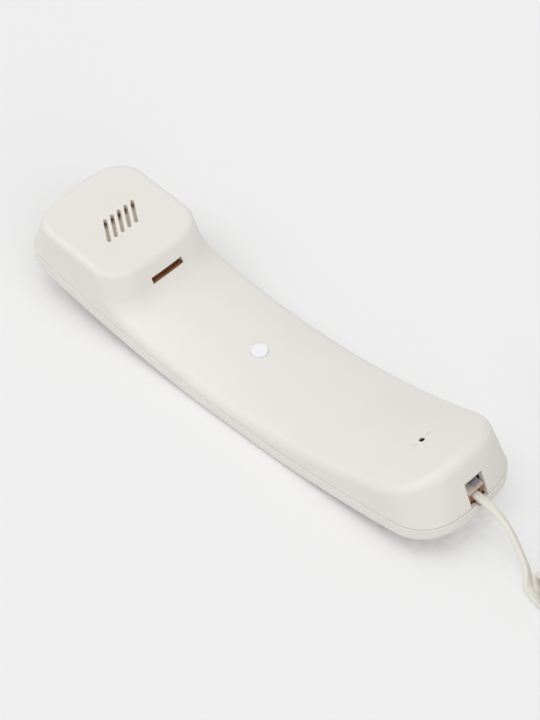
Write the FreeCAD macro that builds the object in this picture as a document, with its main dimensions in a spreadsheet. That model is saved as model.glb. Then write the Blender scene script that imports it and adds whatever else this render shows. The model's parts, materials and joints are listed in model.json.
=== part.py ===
"""Handset of a corded telephone, with its curly cord, lying on its outer face.

Millimetres. +X runs from the ear end to the mouth end, +Z is up. The origin is under the middle of
the handset, on the surface it lies on.
"""
import FreeCAD, Part
import math
import os

import Sketcher
from FreeCAD import Placement, Rotation, Vector

SIZES = {
    # the closed handset, seen from above and from the side
    "overall_length": 208.0, "half_width": 26.35, "ear_narrowing": 1.03, "mouth_narrowing": 0.7,
    "ear_bow": 4.8, "mouth_bow": 4.9, "ear_corner": 11.5, "mouth_corner": 16.7,
    "back_radius": 466.0, "back_middle": 10.8, "land_depth": 0.4, "rim_height": 6.1,
    "wall": 2.2, "ledge": 0.5, "seam_gap": 0.25, "back_edge_round": 2.5, "rim_round": 0.3,
    # front shell: drafts, concave grip, ear block
    "side_draft": 0.073, "ear_draft": 0.364, "mouth_draft": 0.41, "side_bow": 0.15,
    "corner_growth": 0.18,
    "grip_radius": 219.0, "grip_middle": -0.8, "grip_height": 13.0, "grip_crown": 87.0,
    "ear_setback": 30.5, "ear_plane_height": 31.6, "ear_plane_slope": -0.101,
    "throat_setback": 52.0, "throat_lean": 0.424, "throat_bow": 2.2, "throat_corner": 13.0,
    "throat_margin": 0.6, "throat_blend": 8.5, "edge_round": 4.2, "ear_edge_round": 2.7, "inner_round": 0.5,
    # openings of the front shell
    "slot_count": 5, "slot_pitch": 3.52, "slot_reach": 11.4, "slot_width": 1.5, "slot_angle": 35.0,
    "hook_slot_span": 15.6, "hook_slot_height": 2.7, "hook_slot_level": 22.3,
    "hook_board_depth": 5.0, "hook_board_inset": 0.35, "hook_board_thickness": 0.8,
    "mic_setback": 28.1, "mic_hole": 2.2, "dimple_spacing": 3.92, "dimple_hole": 2.0,
    "dimple_depth": 0.2, "leaf_radius": 70.0, "leaf_reach": 1.6, "leaf_depth": 0.8,
    "leaf_slope": 6.0, "leaf_roll": 1.3,
    "cutout_width": 8.8, "cutout_rise": 7.3, "notch_radius": 1.9, "notch_rise": 0.6,
    "tab_length": 8.0, "tab_thickness": 1.4, "tab_drop": 3.0, "tab_rise": 3.0, "tab_gap": 0.3,
    "barb_radius": 0.45, "barb_gap": 0.3, "barb_drop": 1.8, "seat_gap": 0.4,
    # mute button and its switch
    "button_position": -2.0, "button_radius": 3.32, "button_proud": 0.8, "button_gap": 0.08,
    "button_travel": 0.6, "button_edge": 0.25, "flange_radius": 4.6, "flange_thickness": 0.8,
    "switch_side": 6.0, "switch_height": 3.5, "stem_radius": 1.75, "stem_gap": 0.1,
    "switch_board_length": 24.0, "switch_board_width": 16.0, "board_thickness": 1.2,
    # receiver, stacked under the ear plane
    "cloth_edge": 2.5, "cloth_thickness": 0.3, "receiver_inset": 11.85, "gasket_thickness": 1.5,
    "gasket_width": 2.2, "cover_thickness": 0.8, "cover_hole": 2.0, "cover_ring": 6.5,
    "cover_holes": 6, "basket_depth": 3.8, "basket_wall": 1.2, "shelf_thickness": 1.0,
    "cone_gap": 0.3, "cone_thickness": 0.2, "cone_dome": 0.9, "cone_drop": 2.0,
    "coil_radius": 5.5, "coil_thickness": 0.4, "coil_depth": 2.6, "yoke_radius": 9.0,
    "yoke_floor": 1.2, "yoke_wall": 3.0, "yoke_depth": 5.3, "magnet_radius": 4.6,
    "magnet_thickness": 3.2, "pole_radius": 5.0, "pole_thickness": 1.0,
    "clamp_width": 12.0, "clamp_thickness": 1.6, "post_gap": 0.7, "post_radius": 2.6,
    "terminal_length": 33.0, "terminal_width": 26.0, "terminal_offset": 4.5,
    # microphone
    "mic_radius": 4.85, "mic_height": 6.7, "boot_wall": 1.6, "boot_front": 0.9, "boot_gap": 0.15,
    "mic_felt": 0.3, "sound_port": 1.2, "nose_drop": 0.25, "nose_gap": 0.08,
    # ballast bar
    "ballast_start": 16.0, "ballast_length": 40.0, "ballast_width": 28.0, "ballast_height": 4.5,
    "ballast_level": 4.7, "ballast_edge": 0.8, "ballast_screw_inset": 5.0,
    # board and jack at the mouth end
    "jack_board_length": 35.2, "jack_board_setback": 2.8, "jack_board_width": 22.0,
    "jack_board_drop": 3.94, "jack_board_thickness": 1.6, "jack_setback": 6.7, "jack_depth": 11.0,
    "jack_width": 11.2, "jack_height": 10.6, "jack_floor": 0.8, "jack_back": 1.7,
    "jack_clearance": 0.1, "contact_pitch": 1.27, "contact_wire": 0.45,
    "key_width": 3.8, "shoulder_room": 5.8, "key_height": 9.9, "ledge_height": 8.6,
    "ledge_depth": 1.7,
    # screws
    "screw_radius": 1.1, "screw_head_radius": 2.1, "screw_head_height": 1.3, "screw_grip": 2.6,
    "pilot_gap": 0.03, "pilot_depth": 2.8, "screw_clearance": 0.2, "boss_radius": 2.6,
    # modular plug, measured from where the cord leaves it
    "plug_length": 12.4, "plug_width": 7.65, "plug_height": 6.6, "plug_below": 3.8,
    "jacket_depth": 5.6, "jacket_room_width": 4.2, "jacket_room_height": 3.2,
    "blade_inset": 0.9, "blade_length": 2.4, "blade_height": 2.8, "blade_thickness": 0.3,
    "latch_inset": 1.1, "latch_thickness": 0.8, "latch_width": 2.8, "latch_rise": 0.127,
    "latch_overhang": 0.6, "latch_gap": 0.05, "shoulder_width": 5.2, "shoulder_length": 4.0,
    "shoulder_start": 1.7, "finger_start": 6.2, "finger_rise": 0.35,
    # cord
    "cord_diameter": 2.9, "coil_mean_radius": 5.4, "coil_turns": 30.5, "coil_pitch": 4.0,
    "coil_bend_pitch": 5.0, "coil_lift": 0.1, "plug_setback": 2.9,
    "lead_diameter": 1.0,
    # parts on the jack board
    "can_radius": 2.2, "can_height": 5.6, "disc_radius": 1.9, "disc_thickness": 1.4,
    "resistor_radius": 0.9, "resistor_length": 5.0,
}

# the free end that leaves the near plug, down to the surface and into the first curl
NEAR_END = [
    (95.5, 0.0, 17.7), (106.4, -0.1, 17.2), (112.7, 0.0, 14.8), (117.1, -0.1, 11.5),
    (121.6, -0.9, 7.8), (125.9, -2.6, 4.8), (129.0, -4.5, 3.2), (132.6, -8.6, 1.75),
    (134.869, -10.953, 1.55), (138.178, -11.734, 1.55),
]
# the free end from the last curl, down to the surface and into the far plug
FAR_END = [
    (89.18, 71.13, 12.35), (88.61, 66.27, 12.3), (88.6, 61.8, 10.6), (89.4, 57.2, 7.4),
    (91.6, 53.0, 4.3), (95.8, 49.9, 2.2), (102.8, 47.6, 1.6), (112.2, 45.2, 2.1),
    (119.5, 39.5, 3.85), (124.2, 32.6, 3.85),
]
# the curls' own axis on the surface: its start, its heading, and its runs and bends
AXIS_START = (141.0, -12.4)
AXIS_HEADING = 70.0
AXIS_BEND = 24.0
AXIS_RUNS = (5.0, 49.5)
AXIS_TURNS = (20.0, 90.0)
FACE_GAP = 0.05


class Size:
    """A length with the sheet expression that gives it, so that sums of sizes stay bound."""

    def __init__(self, value, text):
        self.value = float(value)
        self.text = text

    @staticmethod
    def of(other):
        return other if isinstance(other, Size) else Size(other, repr(float(other)))

    def _with(self, sign, other, value):
        return Size(value, f"({self.text} {sign} {other.text})")

    def __add__(self, other):
        other = Size.of(other)
        return self._with("+", other, self.value + other.value)

    def __sub__(self, other):
        other = Size.of(other)
        return self._with("-", other, self.value - other.value)

    def __mul__(self, other):
        other = Size.of(other)
        return self._with("*", other, self.value * other.value)

    def __truediv__(self, other):
        other = Size.of(other)
        return self._with("/", other, self.value / other.value)

    def __neg__(self):
        return Size(-self.value, f"(0 - {self.text})")

    def __radd__(self, other):
        return Size.of(other) + self

    def __rsub__(self, other):
        return Size.of(other) - self

    def __rmul__(self, other):
        return Size.of(other) * self

    def __float__(self):
        return self.value


class Sheet:
    """The spreadsheet of driving dimensions; an attribute gives one of them as a Size."""

    def __init__(self, doc, sizes):
        self.sheet = doc.addObject("Spreadsheet::Sheet", "Sizes")
        for row, (name, value) in enumerate(sizes.items(), start=1):
            self.sheet.set(f"A{row}", name)
            self.sheet.set(f"B{row}", str(value))
            self.sheet.setAlias(f"B{row}", name)
        doc.recompute()

    def __getattr__(self, name):
        return Size(getattr(self.sheet, name), f"Sizes.{name}")


doc = FreeCAD.newDocument("Handset")
S = Sheet(doc, SIZES)
nodes = []


def keep(obj, name, place=None):
    """Give a finished piece its name and place, and list it for export."""
    obj.Label = name
    if place is not None:
        obj.Placement = place
    nodes.append(obj)
    return obj


def bind(obj, **sizes):
    """Bind properties of an object to sheet expressions."""
    for prop, size in sizes.items():
        obj.setExpression(prop, Size.of(size).text)


def put(obj, where):
    """Put a piece at one placement, or bind its base point to three sizes."""
    if len(where) == 1:
        obj.Placement = where[0]
        return obj
    for axis, size in zip("xyz", where):
        obj.setExpression(f"Placement.Base.{axis}", Size.of(size).text)
    return obj


def box(label, length, width, height, *where):
    """A block with its lowest corner at x, y, z, or at a placement."""
    obj = doc.addObject("Part::Box", label)
    bind(obj, Length=length, Width=width, Height=height)
    return put(obj, where)


def rod(label, radius, height, *where):
    """A cylinder that stands on x, y, z, or on a placement."""
    obj = doc.addObject("Part::Cylinder", label)
    bind(obj, Radius=radius, Height=height)
    return put(obj, where)


def fused(label, pieces):
    obj = doc.addObject("Part::MultiFuse", label)
    obj.Shapes = pieces
    return obj


def cut(label, base, tools):
    """One block less one or more others."""
    obj = doc.addObject("Part::Cut", label)
    obj.Base = base
    obj.Tool = tools[0] if len(tools) == 1 else fused(f"{label}_cutters", tools)
    return obj


def group(label, pieces):
    """Separate solids that share one node."""
    obj = doc.addObject("Part::Compound", label)
    obj.Links = pieces
    return obj


def plane_of(body, role):
    return [f for f in body.Origin.OriginFeatures if f.Role == role][0]


def sketch_on(body, role, corners):
    """A closed sketch through corners, each held by two dimensions from the origin."""
    sketch = body.newObject("Sketcher::SketchObject", f"{body.Name}_sketch")
    sketch.AttachmentSupport = [(plane_of(body, role), "")]
    sketch.MapMode = "FlatFace"
    points = [Vector(float(a), float(b), 0) for a, b in corners]
    for first, second in zip(points, points[1:] + points[:1]):
        sketch.addGeometry(Part.LineSegment(first, second), False)
    count = len(points)
    for i in range(count):
        sketch.addConstraint(Sketcher.Constraint("Coincident", i, 2, (i + 1) % count, 1))
    for i, (a, b) in enumerate(corners):
        for kind, axis, size in (("DistanceX", -2, a), ("DistanceY", -1, b)):
            size = Size.of(size)
            if size.value == 0:
                sketch.addConstraint(Sketcher.Constraint("PointOnObject", i, 1, axis))
                continue
            index = sketch.addConstraint(Sketcher.Constraint(kind, -1, 1, i, 1, size.value))
            sketch.setExpression(f"Constraints[{index}]", size.text)
    return sketch


def turned(label, corners, place):
    """A piece turned about its own Z axis from corners given as radius and height."""
    body = doc.addObject("PartDesign::Body", label)
    sketch = sketch_on(body, "XZ_Plane", corners)
    spin = body.newObject("PartDesign::Revolution", f"{label}_turning")
    spin.Profile = sketch
    spin.ReferenceAxis = (sketch, ["V_Axis"])
    spin.Angle = 360.0
    return keep(body, label, place)


def plate(label, corners, thickness, holes, place, edge=None):
    """A flat plate on its own XY plane, with round holes given as x, y and radius."""
    body = doc.addObject("PartDesign::Body", label)
    pad = body.newObject("PartDesign::Pad", f"{label}_pad")
    pad.Profile = sketch_on(body, "XY_Plane", corners)
    bind(pad, Length=thickness)
    doc.recompute()
    if edge is not None:
        chamfer = body.newObject("PartDesign::Chamfer", f"{label}_edge")
        chamfer.Base = (pad, [f"Face{i + 1}" for i, face in enumerate(pad.Shape.Faces)
                              if face.normalAt(0, 0).z > 0.9])
        bind(chamfer, Size=edge)
        doc.recompute()
    if holes:
        drill = body.newObject("Sketcher::SketchObject", f"{label}_holes")
        drill.AttachmentSupport = [(plane_of(body, "XY_Plane"), "")]
        drill.MapMode = "FlatFace"
        for i, (x, y, radius) in enumerate(holes):
            x, y, radius = Size.of(x), Size.of(y), Size.of(radius)
            drill.addGeometry(Part.Circle(Vector(x.value, y.value, 0), Vector(0, 0, 1), radius.value))
            index = drill.addConstraint(Sketcher.Constraint("Radius", i, radius.value))
            drill.setExpression(f"Constraints[{index}]", radius.text)
            for kind, axis, size in (("DistanceX", -2, x), ("DistanceY", -1, y)):
                if size.value == 0:
                    drill.addConstraint(Sketcher.Constraint("PointOnObject", i, 3, axis))
                    continue
                index = drill.addConstraint(Sketcher.Constraint(kind, -1, 1, i, 3, size.value))
                drill.setExpression(f"Constraints[{index}]", size.text)
        pocket = body.newObject("PartDesign::Pocket", f"{label}_drilling")
        pocket.Profile = drill
        pocket.Type = 1
        pocket.Midplane = True
    return keep(body, label, place)


def rectangle(x0, x1, half_width):
    return [(x0, -half_width), (x1, -half_width), (x1, half_width), (x0, half_width)]


# Levels of the closed handset

MOUTH = S.overall_length / 2
EAR = -MOUTH
HALF = float(MOUTH)
EAR_MIDDLE = EAR + S.ear_setback
THROAT_EDGE = EAR + S.throat_setback
MIC_X = MOUTH - S.mic_setback
RECEIVER_RADIUS = S.half_width - S.receiver_inset
POST_SPREAD = RECEIVER_RADIUS + S.post_radius + S.post_gap


def back_level(x, above=0.0):
    """Height of the back's outer arc, or of an arc that many millimetres above it."""
    radius = float(S.back_radius) - above
    drop = math.sqrt(radius**2 - (x - float(S.back_middle)) ** 2)
    return float(S.back_radius) - float(S.land_depth) - drop


def grip_level(x, below=0.0):
    """Height of the concave grip, or of its underside that far below."""
    radius = float(S.grip_radius) + below
    drop = math.sqrt(radius**2 - (x - float(S.grip_middle)) ** 2)
    return float(S.grip_height) + float(S.grip_radius) - drop


def ear_level(x, below=0.0):
    """Height of the ear plane, or of its underside that far below."""
    slope = float(S.ear_plane_slope)
    rise = slope * (x - float(EAR_MIDDLE))
    return float(S.ear_plane_height) + rise - below * math.hypot(1, slope)


RIM = float(S.rim_height)
WALL = float(S.wall)
SEAM_MIDDLE = back_level(float(S.back_middle), RIM)
EAR_SEAM = back_level(-HALF, RIM)
MOUTH_SEAM = back_level(HALF, RIM)
JACK_LEVEL = MOUTH_SEAM - S.jack_board_drop
JACK_TOP = JACK_LEVEL + S.jack_board_thickness
JACK_END = MOUTH - S.jack_board_setback
JACK_START = JACK_END - S.jack_board_length
JACK_FRONT = MOUTH - S.jack_setback
PLUG_EXIT = MOUTH - S.plug_setback
CORD_LEVEL = JACK_TOP + S.jack_floor + 2 * S.jack_clearance + S.plug_below
FRONT_HALF_WIDTH = float(S.half_width) - float(S.ledge)
TALL = 60.0
BLOCK_TOP = float(S.ear_plane_height) + 13.4
LOW = -8.0
ROOM = 20.0


def four_sided(x0, x1, ear_y, mouth_y, middle_bow, ear_bow, mouth_bow, z):
    """A closed outline of four arcs: two long sides and two bowed ends."""
    a, b = Vector(x0 + ear_bow, -ear_y, z), Vector(x1 - mouth_bow, -mouth_y, z)
    c, d = Vector(b.x, -b.y, z), Vector(a.x, -a.y, z)
    side = (a + b) * 0.5 - Vector(0, middle_bow, 0)
    arcs = [(a, side, b), (b, Vector(x1, 0, z), c), (c, Vector(side.x, -side.y, z), d),
            (d, Vector(x0, 0, z), a)]
    return Part.Wire([Part.Arc(*arc).toShape() for arc in arcs])


def rounded_block(lower, upper, ear_round, mouth_low, mouth_high):
    """A lofted block with its four upright corners rounded, at the mouth end more at the top."""
    block = Part.makeLoft([lower, upper], True, True)
    for end, side in ((-1, -1), (-1, 1), (1, -1), (1, 1)):
        corner = [e for e in block.Edges if e.BoundBox.ZLength > 10
                  and e.CenterOfMass.x * end > HALF / 2 and e.CenterOfMass.y * side > 15][0]
        rounds = (ear_round, ear_round) if end < 0 else (mouth_low, mouth_high)
        if corner.valueAt(corner.FirstParameter).z > corner.valueAt(corner.LastParameter).z:
            rounds = rounds[::-1]
        block = block.makeFillet(*rounds, [corner])
    return block


def front_block(inset):
    """The drafted block that the front shell's sides are cut from."""
    side, ear, mouth = float(S.side_draft), float(S.ear_draft), float(S.mouth_draft)

    def outline(z):
        half = FRONT_HALF_WIDTH - (z - SEAM_MIDDLE) * side - inset * math.hypot(1, side)
        x0 = -HALF + float(S.ledge) + (z - EAR_SEAM) * ear + inset * math.hypot(1, ear)
        x1 = HALF - float(S.ledge) - (z - MOUTH_SEAM) * mouth - inset * math.hypot(1, mouth)
        return four_sided(x0, x1, half, half, float(S.side_bow), float(S.ear_bow),
                          float(S.mouth_bow), z)

    ledge = float(S.ledge)
    corner = float(S.mouth_corner) - ledge - inset
    low, high = ((z - MOUTH_SEAM) * float(S.corner_growth) for z in (LOW, BLOCK_TOP))
    return rounded_block(outline(LOW), outline(BLOCK_TOP), float(S.ear_corner) - ledge - inset,
                         corner + low, corner + high)


def arc_between(level, x0, x1, y=-TALL):
    middle = (x0 + x1) / 2
    return Part.Arc(*(Vector(x, y, level(x)) for x in (x0, middle, x1))).toShape()


def region(level, x0, x1, edge_z):
    """All that lies between a curved level and a flat height, wider than the handset."""
    curve = arc_between(level, x0, x1)
    ends = [Vector(x0, -TALL, level(x0)), Vector(x0, -TALL, edge_z), Vector(x1, -TALL, edge_z),
            Vector(x1, -TALL, level(x1))]
    lines = [Part.makeLine(a, b) for a, b in zip(ends, ends[1:])]
    wire = Part.Wire(Part.__sortEdges__([curve] + lines))
    return Part.Face(wire).extrude(Vector(0, 2 * TALL, 0))


def over_grip(inset):
    """All that lies over the grip, which is hollow along the handset and crowned across it."""
    crown, level, radius = float(S.grip_crown), float(S.grip_height), float(S.grip_radius)
    middle, start, end = float(S.grip_middle), float(EAR_MIDDLE), HALF + ROOM
    reach = FRONT_HALF_WIDTH + ROOM / 4
    edge = level - crown + math.sqrt((crown - inset) ** 2 - reach**2)
    high = level + 2 * TALL
    a, b = Vector(middle, -reach, edge), Vector(middle, reach, edge)
    c, d = Vector(middle, reach, high), Vector(middle, -reach, high)
    wire = Part.Wire([Part.Arc(a, Vector(middle, 0, level - inset), b).toShape(),
                      Part.makeLine(b, c), Part.makeLine(c, d), Part.makeLine(d, a)])
    face = Part.Face(wire)
    pivot, way = Vector(middle, 0, level + radius), Vector(0, -1, 0)
    back = math.degrees(math.asin((middle - start + ROOM) / radius))
    ahead = math.degrees(math.asin((end - middle) / radius))
    face.rotate(pivot, way, -back)
    above = face.revolve(pivot, way, back + ahead)
    behind = Part.makeBox(HALF, 4 * reach, 4 * TALL, Vector(start - HALF, -2 * reach, -TALL))
    return above.cut(behind)


def ear_block(inset):
    """The block under the ear plane, whose throat side leans and bows out over the grip."""
    lean = float(S.throat_lean)
    far = -2 * HALF

    def outline(z):
        half = (FRONT_HALF_WIDTH - (z - SEAM_MIDDLE) * float(S.side_draft)
                + float(S.throat_margin) - inset * math.hypot(1, float(S.side_draft)))
        edge = float(THROAT_EDGE)
        x = edge + (ear_level(edge) - z) * lean - inset * math.hypot(1, lean)
        near = x - float(S.throat_bow)
        a, b = Vector(near, -half, z), Vector(near, half, z)
        c, d = Vector(far, half, z), Vector(far, -half, z)
        return Part.Wire([Part.Arc(a, Vector(x, 0, z), b).toShape(), Part.makeLine(b, c),
                          Part.makeLine(c, d), Part.makeLine(d, a)])

    block = Part.makeLoft([outline(0), outline(TALL)], True, True)
    corners = [e for e in block.Edges if e.BoundBox.ZLength > 10 and e.CenterOfMass.x > -HALF]
    return block.makeFillet(float(S.throat_corner) - inset, corners)


def grip_cutter(inset):
    """What is taken off over the grip, with the throat's hollow blended into it."""
    start = float(EAR_MIDDLE)
    cutter = over_grip(inset).cut(ear_block(inset))
    foot = [e for e in cutter.Edges
            if start + 1 < e.CenterOfMass.x < start + 45 and e.BoundBox.ZLength < 12
            and -4.5 < e.CenterOfMass.z - grip_level(e.CenterOfMass.x, inset) < 2]
    return cutter.makeFillet(float(S.throat_blend) + inset, foot)


def ear_cutter(inset):
    """What is taken off over the ear plane."""
    x0, x1 = -HALF - 40, 20.0
    return region(lambda x: ear_level(x, inset) + 1e-6 * x * x, x0, x1, 1.5 * TALL)


def middle_of(edge):
    return Part.Vertex(edge.valueAt((edge.FirstParameter + edge.LastParameter) / 2))


def meets(shape, point):
    return shape.distToShape(point)[0] < 0.01


def front_form(inset):
    """The front shell's outer form, or its hollow when inset by the wall."""
    block, grip, ear = front_block(inset), grip_cutter(inset), ear_cutter(inset)
    form = block.cut(grip).cut(ear)
    cutters = [piece.Shells[0] for piece in (block, grip, ear)]

    def is_rim(edge):
        middle = middle_of(edge)
        return middle.Z > SEAM_MIDDLE and sum(meets(shell, middle) for shell in cutters) > 1

    rim = [edge for edge in form.Edges if is_rim(edge)]
    ear_rim = [edge for edge in rim if meets(cutters[2], middle_of(edge))]
    grip_rim = [edge for edge in rim if not meets(cutters[2], middle_of(edge))]
    form = form.makeFillet(max(float(S.edge_round) - inset, float(S.inner_round)), grip_rim)
    left = [min(form.Edges, key=middle_of(edge).distToShape) for edge in ear_rim]
    return form.makeFillet(max(float(S.ear_edge_round) - inset, float(S.inner_round)), left)


def back_form(inset):
    """The back shell's block, upright sides between the rim and the curved back."""
    half = float(S.half_width) - inset
    ear, mouth = half - float(S.ear_narrowing), half - float(S.mouth_narrowing)
    bow = half - (ear + mouth) / 2
    x0, x1 = -HALF + inset, HALF - inset

    def outline(z):
        return four_sided(x0, x1, ear, mouth, bow, float(S.ear_bow), float(S.mouth_bow), z)

    corner = float(S.mouth_corner) - inset
    return rounded_block(outline(LOW), outline(TALL), float(S.ear_corner) - inset, corner, corner)


def framed(x, z, angle):
    """The placement at x, z in the middle plane, tilted about Y by an angle in degrees."""
    return Placement(Vector(x, 0, z), Rotation(Vector(0, 1, 0), angle))


EAR_TILT = -math.degrees(math.atan(float(S.ear_plane_slope)))
EAR_FRAME = framed(float(EAR_MIDDLE), ear_level(float(EAR_MIDDLE)), EAR_TILT)
MIC_SLOPE = math.asin((float(MIC_X) - float(S.grip_middle)) / float(S.grip_radius))
MIC_FRAME = framed(float(MIC_X), grip_level(float(MIC_X)),
                   -math.degrees(MIC_SLOPE))


def below_ear(depth):
    """The ear frame moved down from the underside of the ear plane."""
    return EAR_FRAME.multiply(Placement(Vector(0, 0, -WALL - float(depth)), Rotation()))


def below_mic(depth):
    return MIC_FRAME.multiply(Placement(Vector(0, 0, -WALL - float(depth)), Rotation()))


def moved(shape, place):
    shape.Placement = place.multiply(shape.Placement)
    return shape


def drill(radius, depth, place, x=0.0, y=0.0):
    """A round cutter down from a frame's own plane, with one millimetre above it."""
    tool = Part.makeCylinder(radius, depth + 1.0, Vector(x, y, -depth))
    return moved(tool, place)


def ear_slots():
    """The slanted slots over the receiver."""
    half = float(S.slot_width) / 2
    reach = float(S.slot_reach) / 2 - half
    count = int(float(S.slot_count))
    tools = []
    for i in range(count):
        y = (i - (count - 1) / 2) * float(S.slot_pitch)
        ends = [Vector(-reach, half, 0), Vector(reach, half, 0), Vector(reach, -half, 0),
                Vector(-reach, -half, 0)]
        wire = Part.Wire([
            Part.makeLine(ends[0], ends[1]),
            Part.Arc(ends[1], Vector(reach + half, 0, 0), ends[2]).toShape(),
            Part.makeLine(ends[2], ends[3]),
            Part.Arc(ends[3], Vector(-reach - half, 0, 0), ends[0]).toShape(),
        ])
        tool = Part.Face(wire).extrude(Vector(0, 0, 2 * WALL))
        turn = Rotation(Vector(0, 0, 1), -float(S.slot_angle))
        tool.Placement = Placement(Vector(0, y, -1.5 * WALL), turn)
        tools.append(moved(tool, EAR_FRAME))
    return tools


LEAF_TILT = (Rotation(Vector(0, 1, 0), float(S.leaf_slope))
             * Rotation(Vector(1, 0, 0), -float(S.leaf_roll)))
LEAF_FRAME = MIC_FRAME.multiply(
    Placement(Vector(float(S.leaf_reach), 0, -float(S.leaf_depth)), LEAF_TILT))
LEAF_FLOOR = S.leaf_depth - S.leaf_reach * math.tan(math.radians(float(S.leaf_slope)))


def leaf_recess():
    """The shallow leaf round the microphone hole: a sloped floor that ends at a curved step."""
    reach, radius = float(S.leaf_reach), float(S.leaf_radius)
    step = Part.makeCylinder(radius, ROOM, Vector(reach - radius, 0, -ROOM / 2))
    above = Part.makeBox(2 * ROOM, 2 * ROOM, ROOM / 2, Vector(-ROOM, -ROOM, 0))
    return moved(step, MIC_FRAME).common(moved(above, LEAF_FRAME))


def hook_frame():
    """The placement on the throat in the middle of the hook slot, +X out of the slot."""
    lean, level = float(S.throat_lean), float(S.hook_slot_level)
    edge = float(THROAT_EDGE)
    x = edge + (ear_level(edge) - level) * lean
    return framed(x, level, -math.degrees(math.atan(lean)))


def hook_slot():
    """The slot in the throat that hangs the handset on a wall hook."""
    span, height = float(S.hook_slot_span), float(S.hook_slot_height)
    tool = Part.makeBox(4 * WALL, span, height, Vector(-2 * WALL, -span / 2, -height / 2))
    return moved(tool, hook_frame())


def hook_board():
    """Board that lines the lower side of the hook slot and reaches in behind the wall."""
    length = S.wall + S.hook_board_depth - S.hook_board_inset
    wide = S.hook_slot_span - 4 * FACE_GAP
    low = FACE_GAP - float(S.hook_slot_height) / 2
    spot = Placement(Vector(-float(S.wall + S.hook_board_depth), -float(wide) / 2, low), Rotation())
    board = box("hook_board", length, wide, S.hook_board_thickness, hook_frame().multiply(spot))
    return keep(board, "hook_board")


TAB_STATIONS = (34.0 - HALF, -10.0, HALF - 44.0)


def tab_wall(x):
    """Inner side of the back shell's wall at a station along the handset."""
    share = (x / HALF) ** 2
    narrowing = float(S.ear_narrowing) if x < 0 else float(S.mouth_narrowing)
    return float(S.half_width) - WALL - narrowing * share


def snap_tabs():
    """Tabs that reach down inside the back shell, each with a round barb."""
    pieces = []
    length, thick = float(S.tab_length), float(S.tab_thickness)
    for x in TAB_STATIONS:
        seam = back_level(x, RIM)
        outer = tab_wall(x) - float(S.tab_gap)
        z0, tall = seam - float(S.tab_drop), float(S.tab_drop) + float(S.tab_rise)
        for side in (-1, 1):
            y0 = outer - thick if side > 0 else -outer
            pieces.append(Part.makeBox(length, thick, tall, Vector(x - length / 2, y0, z0)))
            pieces.append(barb(x, side, float(S.barb_radius), length - 2))
    return pieces


def barb(x, side, radius, length):
    """A round bar on a tab's outer face, or the groove for it."""
    y = side * (tab_wall(x) - float(S.tab_gap))
    z = back_level(x, RIM) - float(S.barb_drop)
    return Part.makeCylinder(radius, length, Vector(x - length / 2, y, z), Vector(1, 0, 0))


BASKET_TOP = S.gasket_thickness + S.cover_thickness
CLAMP_DEPTH = BASKET_TOP + S.basket_depth + S.yoke_depth


def receiver_posts():
    """Posts under the ear plane that the receiver's clamp is screwed to."""
    tools, posts = [], []
    tall = float(CLAMP_DEPTH) + WALL / 2
    for side in (-1, 1):
        foot = Vector(0, side * float(POST_SPREAD), -float(CLAMP_DEPTH))
        posts.append(moved(Part.makeCylinder(float(S.post_radius), tall, foot),
                           below_ear(0)))
        pilot = Part.makeCylinder(float(S.screw_radius) + float(S.pilot_gap),
                                  float(S.pilot_depth), foot)
        tools.append(moved(pilot, below_ear(0)))
    return posts, tools


def front_shell():
    """The ear side: a deep shell with its openings, posts and tabs."""
    outer, hollow = front_form(0.0), front_form(WALL)
    posts, pilots = receiver_posts()
    below_seam = region(lambda x: back_level(x, RIM + float(S.seam_gap)), -HALF - 20, HALF + 20,
                        -TALL)
    shell = outer.cut(hollow).cut(below_seam)
    shell = shell.fuse([outer.common(Part.makeCompound(posts))] + snap_tabs())
    width = float(S.cutout_width)
    cutout = Part.makeBox(20, width, float(CORD_LEVEL + S.cutout_rise) + TALL,
                          Vector(HALF - 10, -width / 2, -TALL))
    button = float(S.button_position)
    bore = Part.makeCylinder(float(S.button_radius) + float(S.button_gap), 3 * WALL,
                             Vector(button, 0, grip_level(button) - 2 * WALL))
    dimples = [drill(float(S.dimple_hole) / 2, float(S.dimple_depth), LEAF_FRAME,
                     -float(S.leaf_reach), side * float(S.dimple_spacing)) for side in (-1, 1)]
    mic_hole = drill(float(S.mic_hole) / 2, 2 * WALL, MIC_FRAME)
    room = float(S.seat_gap)
    seats = [Part.makeCylinder(float(S.flange_radius) + room, WALL,
                               Vector(button, 0, grip_level(button) - 2 * WALL)),
             moved(Part.makeCylinder(float(S.mic_radius + S.boot_wall) + room, WALL,
                                     Vector(0, 0, -WALL)), below_mic(0))]
    tools = ear_slots() + [hook_slot(), cutout, bore, mic_hole] + dimples + pilots
    shell = shell.cut(leaf_recess()).cut(seats).cut(tools)
    obj = doc.addObject("Part::Feature", "front_shell")
    obj.Shape = shell.Solids[0] if len(shell.Solids) == 1 else shell
    return keep(obj, "front_shell", Placement())


# x and y of the posts that carry each board
SWITCH_POSTS = [(-11.5, -5.0), (7.5, 5.0)]
JACK_POSTS = [(float(JACK_START) + 4.0, side * 8.0) for side in (-1, 1)]
FLANGE_LEVEL = S.grip_height - S.wall - S.button_gap - S.flange_thickness
SWITCH_TOP = FLANGE_LEVEL - S.button_travel - S.stem_gap
SWITCH_BOARD_TOP = SWITCH_TOP - S.switch_height
SWITCH_BOARD_LEVEL = SWITCH_BOARD_TOP - S.board_thickness


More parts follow.
